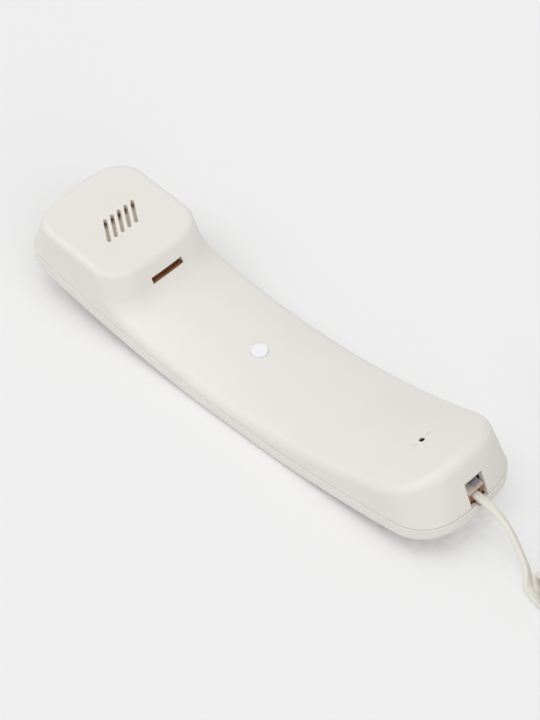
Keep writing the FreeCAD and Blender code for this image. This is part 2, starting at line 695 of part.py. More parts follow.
def back_posts():
    """Posts and ribs on the back shell's floor, and the screw pilots in them."""
    solids, pilots = [], []

    def post(x, y, top, radius):
        foot = back_level(x, 0.5 * WALL)
        solids.append(Part.makeCylinder(radius, top - foot, Vector(x, y, foot)))
        pilots.append(Part.makeCylinder(
            float(S.screw_radius) + float(S.pilot_gap), float(S.pilot_depth),
            Vector(x, y, top - float(S.pilot_depth))))

    def rib(x, half_span, top):
        foot = back_level(x, 0.5 * WALL)
        solids.append(Part.makeBox(1.6, 2 * half_span, top - foot,
                                   Vector(x - 0.8, -half_span, foot)))

    radius = float(S.boss_radius)
    for x, y in SWITCH_POSTS:
        post(x, y, float(SWITCH_BOARD_LEVEL), radius)
    for x, y in JACK_POSTS:
        post(x, y, float(JACK_LEVEL), radius)
    rib(float(JACK_FRONT) - 6, 0.35 * float(S.jack_board_width), float(JACK_LEVEL))
    for x in ballast_screws_at():
        post(float(x), 0.0, float(S.ballast_level), radius)
        rib(float(x), 0.4 * float(S.ballast_width), float(S.ballast_level))
    return solids, pilots


def ballast_screws_at():
    first = S.ballast_start + S.ballast_screw_inset
    return first, S.ballast_start + S.ballast_length - S.ballast_screw_inset


def back_shell():
    """The outer side: a shallow dish that the handset lies on."""
    outer = back_form(0.0)
    above = region(lambda x: back_level(x, RIM), -HALF - 20, HALF + 20, 1.5 * TALL)
    under = region(lambda x: back_level(x), -HALF - 20, HALF + 20, -TALL)
    land = Part.makeBox(4 * HALF, 4 * TALL, TALL, Vector(-2 * HALF, -2 * TALL, -TALL))
    outer = outer.cut(under).cut(land)

    def is_foot(edge):
        middle = middle_of(edge).Point
        across_land = abs(middle.y) < 1 and abs(middle.x) < HALF / 2
        return abs(middle.z - max(0.0, back_level(middle.x))) < 0.01 and not across_land

    foot = [edge for edge in outer.Edges if is_foot(edge)]
    outer = outer.makeFillet(float(S.back_edge_round), foot).cut(above)

    def is_rim_top(edge):
        middle = middle_of(edge).Point
        return abs(middle.z - back_level(middle.x, RIM)) < 0.01

    rim_top = [edge for edge in outer.Edges if is_rim_top(edge)]
    outer = outer.makeFillet(float(S.rim_round), rim_top)
    hollow = back_form(WALL)
    floor_cut = region(lambda x: back_level(x, WALL + float(S.land_depth)), -HALF - 20, HALF + 20,
                       -TALL)
    hollow = hollow.cut(floor_cut)
    solids, pilots = back_posts()
    grooves = [barb(x, side, float(S.barb_radius) + float(S.barb_gap), float(S.tab_length) - 1)
               for x in TAB_STATIONS for side in (-1, 1)]
    reach = 20.0
    notch = Part.makeCylinder(float(S.notch_radius), reach,
                              Vector(HALF - reach / 2, 0, MOUTH_SEAM + float(S.notch_rise)),
                              Vector(1, 0, 0))
    shell = outer.cut(hollow).fuse(solids).cut([notch] + pilots + grooves)
    obj = doc.addObject("Part::Feature", "back_shell")
    obj.Shape = shell.Solids[0] if len(shell.Solids) == 1 else shell
    return keep(obj, "back_shell", Placement())


def screws(label, clamped, places):
    """Pan-head screws, each a head and a shank down from a placement on the head's seat."""
    pieces = []
    long = clamped + S.screw_grip
    for i, place in enumerate(places):
        head = rod(f"{label}_head_{i}", S.screw_head_radius, S.screw_head_height, 0, 0, 0)
        shank = rod(f"{label}_shank_{i}", S.screw_radius, long, 0, 0, -long)
        screw = fused(f"{label}_{i}", [head, shank])
        screw.Placement = place
        pieces.append(screw)
    return keep(group(label, pieces), label)


# Mute button and switch

def mute_button():
    """A round key: its top stands proud of the grip, its flange stays under the shell."""
    edge = S.button_edge
    top = S.button_proud
    under = -(S.wall + S.button_gap)
    bottom = under - S.flange_thickness
    corners = [
        (0, bottom), (S.flange_radius, bottom), (S.flange_radius, under), (S.button_radius, under),
        (S.button_radius, top - edge), (S.button_radius - edge, top), (0, top),
    ]
    x = float(S.button_position)
    return turned("mute_button", corners, Placement(Vector(x, 0, grip_level(x)), Rotation()))


def mute_switch():
    """Board, switch case and stem under the button."""
    level, top = SWITCH_BOARD_LEVEL, SWITCH_BOARD_TOP
    x = S.button_position
    half = S.switch_board_length / 2
    hole = S.screw_radius + S.screw_clearance
    plate("switch_board", rectangle(-half, half, S.switch_board_width / 2), S.board_thickness,
          [(px - float(x), py, hole) for px, py in SWITCH_POSTS],
          Placement(Vector(float(x), 0, float(level)), Rotation()))
    screws("switch_board_screws", S.board_thickness,
           [Placement(Vector(px, py, float(top)), Rotation()) for px, py in SWITCH_POSTS])
    side = S.switch_side
    case = box("switch_case_block", side, side, S.switch_height, x - side / 2, -side / 2, top)
    well = rod("switch_case_well", S.stem_radius + S.stem_gap, S.switch_height, x, 0, top + 1.0)
    keep(cut("switch_case", case, [well]), "switch_case")
    foot = top + 1.0 + S.button_travel + S.stem_gap
    under = Size.of(grip_level(float(x))) - S.wall - S.button_gap - S.flange_thickness
    keep(rod("switch_stem", S.stem_radius, under - foot, x, 0, foot), "switch_stem")


# Receiver

def receiver():
    """Dynamic receiver: cloth, gasket, cover, basket, cone, coil, magnet, yoke, clamp."""
    radius = RECEIVER_RADIUS
    cloth = radius - S.cloth_edge
    turned("dust_cloth", [(0, -S.cloth_thickness), (cloth, -S.cloth_thickness), (cloth, 0), (0, 0)],
           below_ear(0))
    ring = radius - S.gasket_width
    turned("receiver_gasket", [(ring, -S.gasket_thickness), (radius, -S.gasket_thickness),
                               (radius, 0), (ring, 0)], below_ear(0))
    receiver_cover()
    depth = BASKET_TOP
    inner = radius - S.basket_wall
    shelf_inner = S.yoke_radius
    foot = -S.basket_depth
    turned("receiver_basket", [
        (shelf_inner, foot - S.shelf_thickness), (radius, foot - S.shelf_thickness), (radius, 0),
        (inner, 0), (inner, foot), (shelf_inner, foot),
    ], below_ear(depth))
    cone = inner - S.cone_gap
    drop = -S.cone_drop
    thick = S.cone_thickness
    dome = S.cone_dome
    coil_out = S.coil_radius + S.coil_thickness / 2
    turned("receiver_cone", [
        (0, drop + dome - thick), (coil_out * 0.55, drop + dome * 0.8 - thick), (coil_out, drop - thick),
        (cone, drop - thick), (cone, drop), (coil_out, drop), (coil_out * 0.55, drop + dome * 0.8),
        (0, drop + dome),
    ], below_ear(depth))
    coil_in = coil_out - S.coil_thickness
    turned("voice_coil", [
        (coil_in, drop - thick - S.coil_depth), (coil_out, drop - thick - S.coil_depth),
        (coil_out, drop - thick), (coil_in, drop - thick),
    ], below_ear(depth))
    yoke_foot = CLAMP_DEPTH
    bore = S.yoke_radius - S.yoke_wall
    turned("receiver_yoke", [
        (0, 0), (S.yoke_radius, 0), (S.yoke_radius, S.yoke_depth), (bore, S.yoke_depth),
        (bore, S.yoke_floor), (0, S.yoke_floor),
    ], below_ear(yoke_foot))
    turned("receiver_magnet", [
        (0, S.yoke_floor), (S.magnet_radius, S.yoke_floor),
        (S.magnet_radius, S.yoke_floor + S.magnet_thickness), (0, S.yoke_floor + S.magnet_thickness),
    ], below_ear(yoke_foot))
    pole = S.yoke_floor + S.magnet_thickness
    turned("pole_plate", [
        (0, pole), (S.pole_radius, pole), (S.pole_radius, pole + S.pole_thickness),
        (0, pole + S.pole_thickness),
    ], below_ear(yoke_foot))
    clamp_depth = yoke_foot + S.clamp_thickness
    half = POST_SPREAD + S.post_radius
    spots = [(0, POST_SPREAD), (0, -POST_SPREAD)]
    wide = S.clamp_width / 2
    plate("receiver_clamp", [(-wide, -half), (wide, -half), (wide, half), (-wide, half)],
          S.clamp_thickness, [(x, y, S.screw_radius + S.screw_clearance) for x, y in spots],
          below_ear(clamp_depth))
    flip = Placement(Vector(), Rotation(Vector(1, 0, 0), 180))
    screws("receiver_clamp_screws", S.clamp_thickness, [
        below_ear(clamp_depth).multiply(Placement(Vector(0, float(y), 0), Rotation())).multiply(flip)
        for _, y in spots])
    terminal = clamp_depth + S.board_thickness
    start = -(S.terminal_length / 2) + S.terminal_offset
    plate("terminal_board", rectangle(start, start + S.terminal_length, S.terminal_width / 2),
          S.board_thickness, [], below_ear(terminal))
    tags = []
    for i, side in enumerate((-1, 1)):
        spot = Placement(Vector(float(start) + 3.0, side * 4.0 - 1.2, -0.4), Rotation())
        tags.append(box(f"terminal_tag_{i}", 5.0, 2.4, 0.4, below_ear(terminal).multiply(spot)))
    return keep(group("terminal_tags", tags), "terminal_tags")


def receiver_cover():
    """Perforated disc over the cone: one hole, repeated round the middle."""
    body = doc.addObject("PartDesign::Body", "receiver_cover")
    rim = body.newObject("Sketcher::SketchObject", "receiver_cover_rim")
    rim.AttachmentSupport = [(plane_of(body, "XY_Plane"), "")]
    rim.MapMode = "FlatFace"
    rim.addGeometry(Part.Circle(Vector(), Vector(0, 0, 1), float(RECEIVER_RADIUS)))
    rim.addConstraint(Sketcher.Constraint("Coincident", 0, 3, -1, 1))
    index = rim.addConstraint(Sketcher.Constraint("Radius", 0, float(RECEIVER_RADIUS)))
    rim.setExpression(f"Constraints[{index}]", RECEIVER_RADIUS.text)
    disc = body.newObject("PartDesign::Pad", "receiver_cover_disc")
    disc.Profile = rim
    bind(disc, Length=S.cover_thickness)
    doc.recompute()
    hole = body.newObject("Sketcher::SketchObject", "receiver_cover_hole")
    hole.AttachmentSupport = [(plane_of(body, "XY_Plane"), "")]
    hole.MapMode = "FlatFace"
    hole.addGeometry(Part.Circle(Vector(float(S.cover_ring), 0, 0), Vector(0, 0, 1),
                                 float(S.cover_hole) / 2))
    hole.addConstraint(Sketcher.Constraint("PointOnObject", 0, 3, -1))
    for kind, args, size in (("DistanceX", (-1, 1, 0, 3), S.cover_ring),
                             ("Radius", (0,), S.cover_hole / 2)):
        index = hole.addConstraint(Sketcher.Constraint(kind, *args, float(size)))
        hole.setExpression(f"Constraints[{index}]", size.text)
    pocket = body.newObject("PartDesign::Pocket", "receiver_cover_drilling")
    pocket.Profile = hole
    pocket.Type = 1
    pocket.Midplane = True
    doc.recompute()
    ring = body.newObject("PartDesign::PolarPattern", "receiver_cover_ring")
    ring.Originals = [pocket]
    ring.Axis = (hole, ["N_Axis"])
    ring.Angle = 360.0
    ring.Occurrences = int(float(S.cover_holes))
    body.Tip = ring
    return keep(body, "receiver_cover", below_ear(S.gasket_thickness + S.cover_thickness))


# Microphone

def microphone():
    """Electret capsule in a rubber boot, whose nose stands in the microphone hole."""
    front = S.boot_gap
    inner = S.mic_radius
    outer = inner + S.boot_wall
    depth = S.boot_front + S.mic_felt + S.mic_height
    nose = S.mic_hole / 2 - S.nose_gap
    port = S.sound_port / 2
    top = S.wall + S.boot_gap - LEAF_FLOOR - S.nose_drop
    turned("mic_boot", [
        (inner + FACE_GAP, -depth), (outer, -depth), (outer, 0), (nose, 0), (nose, top), (port, top),
        (port, -S.boot_front), (inner + FACE_GAP, -S.boot_front),
    ], below_mic(front))
    felt = S.boot_front + S.mic_felt
    turned("mic_felt", [(0, -felt), (inner, -felt), (inner, -S.boot_front), (0, -S.boot_front)],
           below_mic(front))
    turned("mic_capsule", [(0, -depth), (inner, -depth), (inner, -felt), (0, -felt)],
           below_mic(front))


# Ballast

def ballast():
    """Steel bar that gives the handset its weight, screwed down on two ribs."""
    level = S.ballast_level
    first, second = ballast_screws_at()
    middle = float(S.ballast_start + S.ballast_length / 2)
    half = S.ballast_length / 2
    spots = [-(half - S.ballast_screw_inset), half - S.ballast_screw_inset]
    plate("ballast_bar", rectangle(-half, half, S.ballast_width / 2), S.ballast_height,
          [(x, 0, S.screw_radius + S.screw_clearance) for x in spots],
          Placement(Vector(middle, 0, float(level)), Rotation()), edge=S.ballast_edge)
    screws("ballast_screws", S.ballast_height, [
        Placement(Vector(float(x), 0, float(level + S.ballast_height)), Rotation())
        for x in (first, second)])


# Jack and its board

CONTACT_ROWS = (-1.5, -0.5, 0.5, 1.5)


def jack():
    """Modular jack on its board behind the cut-out, its four contact wires and board parts."""
    level, top = JACK_LEVEL, JACK_TOP
    start, end = JACK_START, JACK_END
    holes = [(x - float(start), y, S.screw_radius + S.screw_clearance) for x, y in JACK_POSTS]
    place = Placement(Vector(float(start), 0, float(level)), Rotation())
    pins = [(JACK_FRONT - 2.6 - start, row * S.contact_pitch, S.contact_wire / 2 + 0.15)
            for row in CONTACT_ROWS]
    half = S.jack_board_width / 2
    trim = 4.0
    corners = [(0, -half), (end - start - trim, -half), (end - start, -half + trim),
               (end - start, half - trim), (end - start - trim, half), (0, half)]
    plate("jack_board", corners, S.jack_board_thickness, holes + pins, place)
    screws("jack_board_screws", S.jack_board_thickness,
           [Placement(Vector(x, y, float(top)), Rotation()) for x, y in JACK_POSTS])
    rear = JACK_FRONT - S.jack_depth
    block = box("jack_block", S.jack_depth, S.jack_width, S.jack_height, rear, -S.jack_width / 2, top)
    room = S.jack_clearance
    run = S.jack_depth - S.jack_back + 1.0
    inside = rear + S.jack_back
    floor = top + S.jack_floor
    plug_floor = CORD_LEVEL - S.plug_below - 2 * room
    mouth = box("jack_mouth", run, S.plug_width + 2 * room, S.plug_height + 4 * room,
                inside, -S.plug_width / 2 - room, plug_floor)
    key = box("jack_key", run, S.key_width, S.key_height - S.jack_floor, inside, -S.key_width / 2, floor)
    ledge = box("jack_shoulder_room", run, S.shoulder_room, S.ledge_height - S.jack_floor,
                inside, -S.shoulder_room / 2, floor)
    catch = box("jack_catch", S.jack_depth - S.jack_back - S.ledge_depth, S.shoulder_room,
                S.key_height - S.jack_floor, inside, -S.shoulder_room / 2, floor)
    wire = S.contact_wire
    channels = []
    for i, row in enumerate(CONTACT_ROWS):
        y = row * S.contact_pitch - wire / 2 - 0.1
        channels.append(box(f"jack_channel_{i}", 8.2, wire + 0.2, 1.0, inside, y, plug_floor - 0.55))
        channels.append(box(f"jack_pin_hole_{i}", wire + 0.2, wire + 0.2, 2.0,
                            JACK_FRONT - 2.6 - wire / 2 - 0.1, y, top - 0.5))
    keep(cut("jack_housing", block, [mouth, key, ledge, catch] + channels), "jack_housing")
    jack_contacts(inside, plug_floor - 0.5, top)
    board_parts(top)


def jack_contacts(inside, level, top):
    """Four gold wires: a pin through the board and a spring under the plug's blades."""
    wire = S.contact_wire
    pieces = []
    for i, row in enumerate(CONTACT_ROWS):
        y = row * S.contact_pitch - wire / 2
        pin = box(f"contact_pin_{i}", wire, wire, level - top + 2.6, JACK_FRONT - 2.6 - wire / 2, y,
                  top - 2.6 + wire)
        spring = box(f"contact_spring_{i}", JACK_FRONT - 2.6 - inside - 0.3 + wire / 2, wire, wire,
                     inside + 0.3, y, level)
        pieces.append(fused(f"contact_{i}", [pin, spring]))
    return keep(group("jack_contacts", pieces), "jack_contacts")


def board_parts(top):
    """Capacitor, two discs and two resistors on the jack board."""
    start = JACK_START
    across = Rotation(Vector(0, 1, 0), 90)
    can, disc, resistor = S.can_radius, S.disc_radius, S.resistor_radius
    pieces = [rod("part_can", can, S.can_height, start + 3.0, can + 1.2, top)]
    for i, y in enumerate((-3.4, -0.4)):
        spot = Placement(Vector(float(start) + 2.0, y, float(top + disc)), across)
        pieces.append(rod(f"part_disc_{i}", disc, S.disc_thickness, spot))
    for i, side in enumerate((-1, 1)):
        spot = Placement(Vector(float(start) + 14.0, side * 8.6, float(top + resistor)), across)
        pieces.append(rod(f"part_resistor_{i}", resistor, S.resistor_length, spot))
    return keep(group("board_parts", pieces), "board_parts")


# Plug

def leaning(rise):
    """The turn of a latch that rises that much for each millimetre."""
    return Rotation(Vector(0, 1, 0), -math.degrees(math.atan(float(rise))))


def plug(prefix, place):
    """A clear modular plug. Its frame starts where the cord leaves it, +X along the cord."""
    length, width, height = S.plug_length, S.plug_width, S.plug_height
    foot = -S.plug_below
    block = box(f"{prefix}_block", length, width, height, -length, -width / 2, foot)
    room = box(f"{prefix}_jacket_room", S.jacket_depth + 1.0, S.jacket_room_width,
               S.jacket_room_height, -S.jacket_depth, -S.jacket_room_width / 2,
               -S.jacket_room_height / 2)
    wires = box(f"{prefix}_wire_room", S.jacket_depth, 3.9 * S.contact_pitch, 1.2,
                -length + S.blade_inset, -1.95 * S.contact_pitch, -0.6)
    tools = [room, wires]
    blades = []
    for i, row in enumerate(CONTACT_ROWS):
        thick = S.blade_thickness
        y = row * S.contact_pitch
        tools.append(box(f"{prefix}_slot_{i}", S.blade_length + 0.2, thick + 0.1, S.blade_height + 1.0,
                         -length + S.blade_inset - 0.1, y - thick / 2 - 0.05, foot - 1.0))
        blades.append(box(f"{prefix}_blade_{i}", S.blade_length, thick, S.blade_height,
                          -length + S.blade_inset, y - thick / 2, foot))
    keep(cut(f"{prefix}_body", block, tools), f"{prefix}_body", place)
    keep(group(f"{prefix}_blades", blades), f"{prefix}_blades", place)
    thick = S.latch_thickness
    root_x = -length + S.latch_inset
    root_z = foot + height + S.latch_gap + thick / 2
    reach = length - S.latch_inset + S.latch_overhang
    wide = S.latch_width
    root = Placement(Vector(float(root_x), 0, float(root_z)), leaning(S.latch_rise))
    bend = root.multiply(Placement(Vector(float(S.finger_start), 0, 0), Rotation()))
    tip = Placement(bend.Base, leaning(S.finger_rise))
    across = Rotation(Vector(1, 0, 0), 90)

    def bar(label, base, start, span, wide):
        local = Placement(Vector(float(start), -float(wide) / 2, -float(thick) / 2), Rotation())
        return box(label, span, wide, thick, base.multiply(local))

    def knee(label, base):
        side = Placement(base.Base + Vector(0, float(wide) / 2, 0), across)
        return rod(label, thick / 2, wide, side)

    pieces = [
        knee(f"{prefix}_latch_root", root),
        bar(f"{prefix}_lever", root, 0, S.finger_start, wide),
        knee(f"{prefix}_latch_bend", bend),
        bar(f"{prefix}_finger", tip, 0, reach - S.finger_start, wide),
        bar(f"{prefix}_shoulders", root, S.shoulder_start, S.shoulder_length, S.shoulder_width),
    ]
    return keep(fused(f"{prefix}_latch", pieces), f"{prefix}_latch", place)


# Cords and leads

def rounded_route(points, report):
    """Straight runs joined by tangent arcs, each as large as its two runs allow."""
    points = [Vector(*p) for p in points]
    edges, here, radii = [], points[0], []
    for before, corner, after in zip(points, points[1:], points[2:]):
        into, out = corner - before, after - corner
        turn = into.getAngle(out)
        half = math.tan(turn / 2)
        step = 0.45 * min(into.Length, out.Length)
        radii.append(step / half)
        a = corner - into.normalize() * step
        b = corner + out.normalize() * step
        middle = (a + b) * 0.5
        bulge = (corner - middle).normalize() * (step / half) * (1 / math.cos(turn / 2) - 1)
        edges.append(Part.makeLine(here, a))
        edges.append(Part.Arc(a, corner - bulge, b).toShape())
        here = b
    edges.append(Part.makeLine(here, points[-1]))
    print(report, "radii", [round(r, 1) for r in radii])
    return Part.Wire(edges)


def tube(wire, diameter, report):
    """A round tube along a wire; its volume is set against section times length."""
    start = wire.OrderedEdges[0]
    heading = start.tangentAt(start.FirstParameter)
    ring = Part.Wire(Part.Circle(start.valueAt(start.FirstParameter), heading, diameter / 2).toShape())
    pipe = Part.BRepOffsetAPI.MakePipeShell(wire)
    pipe.add(ring)
    pipe.build()
    pipe.makeSolid()
    solid = pipe.shape()
    if solid.Volume < 0:
        solid.reverse()
    share = solid.Volume / (math.pi * diameter**2 / 4 * wire.Length)
    print(report, "length", round(wire.Length, 1), "volume share", round(share, 4))
    return solid


def axis_pieces():
    """Runs and bends of the curls' axis, each with its amount and the turns that it holds."""
    pitch, bend_pitch = float(S.coil_pitch), float(S.coil_bend_pitch)
    pieces = []
    for run, turn in zip(AXIS_RUNS, AXIS_TURNS):
        angle = math.radians(turn)
        pieces += [("run", run, run / pitch), ("bend", angle, angle * AXIS_BEND / bend_pitch)]
    left = float(S.coil_turns) - sum(turns for _, _, turns in pieces)
    return pieces + [("run", left * pitch, left)]


def axis_frame(turns):
    """Point and right-hand side of the curls' axis after that many turns."""
    x, y = AXIS_START
    heading = math.radians(AXIS_HEADING)
    for kind, amount, held in axis_pieces():
        part = amount * min(turns / held, 1.0)
        if kind == "run":
            x += part * math.cos(heading)
            y += part * math.sin(heading)
        else:
            x += AXIS_BEND * (math.sin(heading + part) - math.sin(heading))
            y += AXIS_BEND * (math.cos(heading) - math.cos(heading + part))
            heading += part
        turns -= held
        if turns <= 0:
            break
    return Vector(x, y, 0), Vector(math.sin(heading), -math.cos(heading), 0)


def curl_point(turns):
    """A point on the curly cord after that many turns, from the bottom of the first curl."""
    radius = float(S.coil_mean_radius)
    height = radius + float(S.cord_diameter) / 2 + float(S.coil_lift)
    base, side = axis_frame(turns)
    angle = 2 * math.pi * turns
    return base + Vector(0, 0, height - radius * math.cos(angle)) + side * (radius * math.sin(angle))


def curl_heading(turns):
    """The cord's heading there, from two points close by."""
    small = 1e-4
    low, high = max(turns - small, 0), min(turns + small, float(S.coil_turns))
    return (curl_point(high) - curl_point(low)).normalize()


def biarc(p0, t0, p1, t1):
    """Two tangent arcs between two points with given headings."""
    chord = p1 - p0
    a = 2 * (1 - t0.dot(t1))
    b = 2 * chord.dot(t0 + t1)
    c = -chord.dot(chord)
    reach = (-b + math.sqrt(b * b - 4 * a * c)) / (2 * a)
    joint = (p0 + p1 + (t0 - t1) * reach) * 0.5

    def arc(start, knee, end):
        middle = (start + end) * 0.5
        rise = (knee - middle).Length
        half = (start - middle).Length
        sag = half * math.tan(math.atan2(rise, half) / 2)
        return Part.Arc(start, middle + (knee - middle).normalize() * sag, end).toShape()

    return [arc(p0, p0 + t0 * reach, joint), arc(joint, p1 - t1 * reach, p1)]


def curly_wire():
    """The curls as one wire of biarcs, a quarter of a turn each, with a straight bit at each end."""
    steps = int(round(4 * float(S.coil_turns)))
    spots = [(curl_point(i / 4), curl_heading(i / 4)) for i in range(steps + 1)]
    straight = float(S.cord_diameter)
    (first, lead_in), (last, lead_out) = spots[0], spots[-1]
    edges = [Part.makeLine(first - lead_in * straight, first)]
    for (p0, t0), (p1, t1) in zip(spots, spots[1:]):
        edges += biarc(p0, t0, p1, t1)
    end = last + lead_out * straight
    edges.append(Part.makeLine(last, end))
    print("curls run from", first - lead_in * straight, "to", end, "heading", lead_in, lead_out)
    return Part.Wire(edges)


def own_gap():
    """Least gap between a curl and its neighbours, measured on points along the cord."""
    fine = 48
    count = int(fine * float(S.coil_turns))
    points = [curl_point(i / fine) for i in range(count + 1)]
    least = min((points[i] - points[j]).Length
                for i in range(0, count - fine // 2)
                for j in range(i + fine // 2, min(i + 2 * fine, count)))
    return least - float(S.cord_diameter)


def cords():
    """Free end, curls and far free end, one cord in three nodes."""
    thick = float(S.cord_diameter)
    for label, points in (("cord_near_end", NEAR_END), ("cord_far_end", FAR_END)):
        obj = doc.addObject("Part::Feature", label)
        obj.Shape = tube(rounded_route(points, label), thick, label)
        keep(obj, label, Placement())
    curls = doc.addObject("Part::Feature", "cord_curls")
    curls.Shape = tube(curly_wire(), thick, "cord_curls")
    keep(curls, "cord_curls", Placement())
    print("least gap between curls", round(own_gap(), 3))


def leads():
    """Wires inside the handset, two to each electrical piece."""
    thick = float(S.lead_diameter)
    top = float(JACK_TOP)
    board = float(SWITCH_BOARD_TOP)
    start = below_ear(float(CLAMP_DEPTH) + float(S.clamp_thickness) + float(S.board_thickness))
    side = 1.4
    terminal = [start.multVec(Vector(-4.0, y, -0.4)) for y in (4.6, 3.2)]
    under_mic = -WALL - float(S.boot_gap + S.boot_front + S.mic_felt + S.mic_height)
    mic = [MIC_FRAME.multVec(Vector(0, y, under_mic)) for y in (-1.3, 1.3)]
    routes = {"receiver_leads": [], "mute_leads": [], "mic_leads": []}
    for i, tag in enumerate(terminal):
        y = 17.2 - i * side
        routes["receiver_leads"].append([
            tuple(tag), (tag.x - 0.3, tag.y, tag.z - 3.0), (-62.0, tag.y + 6, tag.z - 4.2),
            (-46.0, y - 1.5, 8.0), (-24.0, y, 5.3), (6.0, y + 0.6, 4.6), (34.0, y + 0.4, 5.2),
            (56.0, y - 0.6, 8.2), (66.0, y - 2.4, 12.4), (74.8 + i * side, y - 6.6, 16.2),
            (75.2 + i * side, y - 7.2, top),
        ])
        routes["mute_leads"].append([
            (8.0, -2.0 - i * side, board), (8.2, -2.2 - i * side, board + 2.4),
            (10.4, -10.4 - i * side, 6.4), (14.6, -16.2 - i * side, 5.5),
            (35.0, -16.6 - i * side, 5.4), (55.0, -15.0 - i * side, 8.4),
            (66.0, -12.2 - i, 13.4), (73.2 + i * side, -10.2, 16.4), (73.4 + i * side, -10.0, top),
        ])
        spot = mic[i]
        routes["mic_leads"].append([tuple(spot), (spot.x + 0.6, spot.y, spot.z - 1.6),
                                    (spot.x + 0.7, spot.y, top)])
    for label, paths in routes.items():
        solids = [tube(rounded_route(path, label), thick, label) for path in paths]
        obj = doc.addObject("Part::Feature", label)
        obj.Shape = Part.makeCompound(solids)
        keep(obj, label, Placement())


def build():
    front_shell()
    back_shell()
    hook_board()
    mute_button()
    mute_switch()
    receiver()
    microphone()
    ballast()
    jack()
    plug("near_plug", Placement(Vector(float(PLUG_EXIT), 0, float(CORD_LEVEL)), Rotation()))
    end, before = Vector(*FAR_END[-1]), Vector(*FAR_END[-2])
    heading = (before - end).normalize()
    angle = math.degrees(math.atan2(heading.y, heading.x))
    out = end + heading * float(S.jacket_depth)
    plug("far_plug", Placement(out, Rotation(Vector(0, 0, 1), angle)))
    cords()
    leads()
    doc.recompute()


def export():
    """Check every object and write one file for each piece."""
    bad = [obj.Label for obj in doc.Objects if {"Invalid", "Error"} & set(obj.State)]
    bad += [obj.Label for obj in nodes if obj.Shape.isNull() or not obj.Shape.isValid()]
    if bad:
        raise RuntimeError(f"these pieces failed: {bad}")
    os.makedirs("parts", exist_ok=True)
    for obj in nodes:
        obj.Shape.exportStep(f"parts/{obj.Label}.step")
        print(f"{obj.Label}: {len(obj.Shape.Solids)} solid(s), {obj.Shape.Volume:.1f} mm3")


build()
export()
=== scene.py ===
"""Handset of a corded telephone with its curly cord, dressed and lit for a studio picture."""
import json
import logging
import math
from dataclasses import dataclass, field
from enum import Enum

import bmesh
import bpy
from mathutils import Matrix, Vector

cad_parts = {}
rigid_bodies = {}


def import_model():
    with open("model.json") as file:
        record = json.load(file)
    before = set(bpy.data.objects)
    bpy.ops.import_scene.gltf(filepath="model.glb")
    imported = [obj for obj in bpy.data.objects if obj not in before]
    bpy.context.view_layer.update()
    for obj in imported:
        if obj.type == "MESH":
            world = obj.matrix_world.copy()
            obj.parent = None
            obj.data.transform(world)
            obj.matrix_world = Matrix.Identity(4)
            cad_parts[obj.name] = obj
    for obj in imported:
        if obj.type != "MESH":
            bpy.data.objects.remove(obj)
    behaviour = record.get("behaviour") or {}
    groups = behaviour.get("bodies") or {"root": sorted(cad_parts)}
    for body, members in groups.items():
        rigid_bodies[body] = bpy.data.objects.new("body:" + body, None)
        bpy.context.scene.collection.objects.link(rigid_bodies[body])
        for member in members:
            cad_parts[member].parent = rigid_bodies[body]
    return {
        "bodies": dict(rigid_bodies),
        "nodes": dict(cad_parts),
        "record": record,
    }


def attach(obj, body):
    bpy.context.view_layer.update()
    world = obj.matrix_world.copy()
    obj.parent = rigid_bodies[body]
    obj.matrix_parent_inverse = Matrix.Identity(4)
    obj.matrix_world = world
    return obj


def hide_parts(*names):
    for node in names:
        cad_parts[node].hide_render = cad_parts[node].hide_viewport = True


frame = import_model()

log = logging.getLogger("handset")
Point = tuple[float, float, float]
Colour = tuple[float, float, float]
Socket = bpy.types.NodeSocket
MM = 0.001
UP = Vector((0, 0, 1))
PLASTIC_IOR = 1.5
PICTURE_WIDTH = 540
SENSOR_WIDTH = 36


def clear_stage() -> None:
    """Remove whatever an empty file starts with, and keep the carried-over nodes and bodies."""
    kept = set(frame["nodes"].values()) | set(frame["bodies"].values())
    for obj in list(bpy.data.objects):
        if obj not in kept:
            bpy.data.objects.remove(obj)


def deselect_all() -> None:
    """Leave nothing selected, so that an operator acts only on what is made next."""
    for obj in bpy.context.view_layer.objects:
        obj.select_set(False)
    bpy.context.view_layer.objects.active = None


def linear(value: float) -> float:
    """Return the light level of one screen value from 0 to 255."""
    share = value / 255
    return share / 12.92 if share <= 0.04045 else ((share + 0.055) / 1.055) ** 2.4


def screen(red: float, green: float, blue: float) -> Colour:
    """Return the light levels of a screen colour."""
    return linear(red), linear(green), linear(blue)


def darker(colour: Colour, share: float) -> Colour:
    """Return a colour at a share of its level."""
    return tuple(share * level for level in colour)


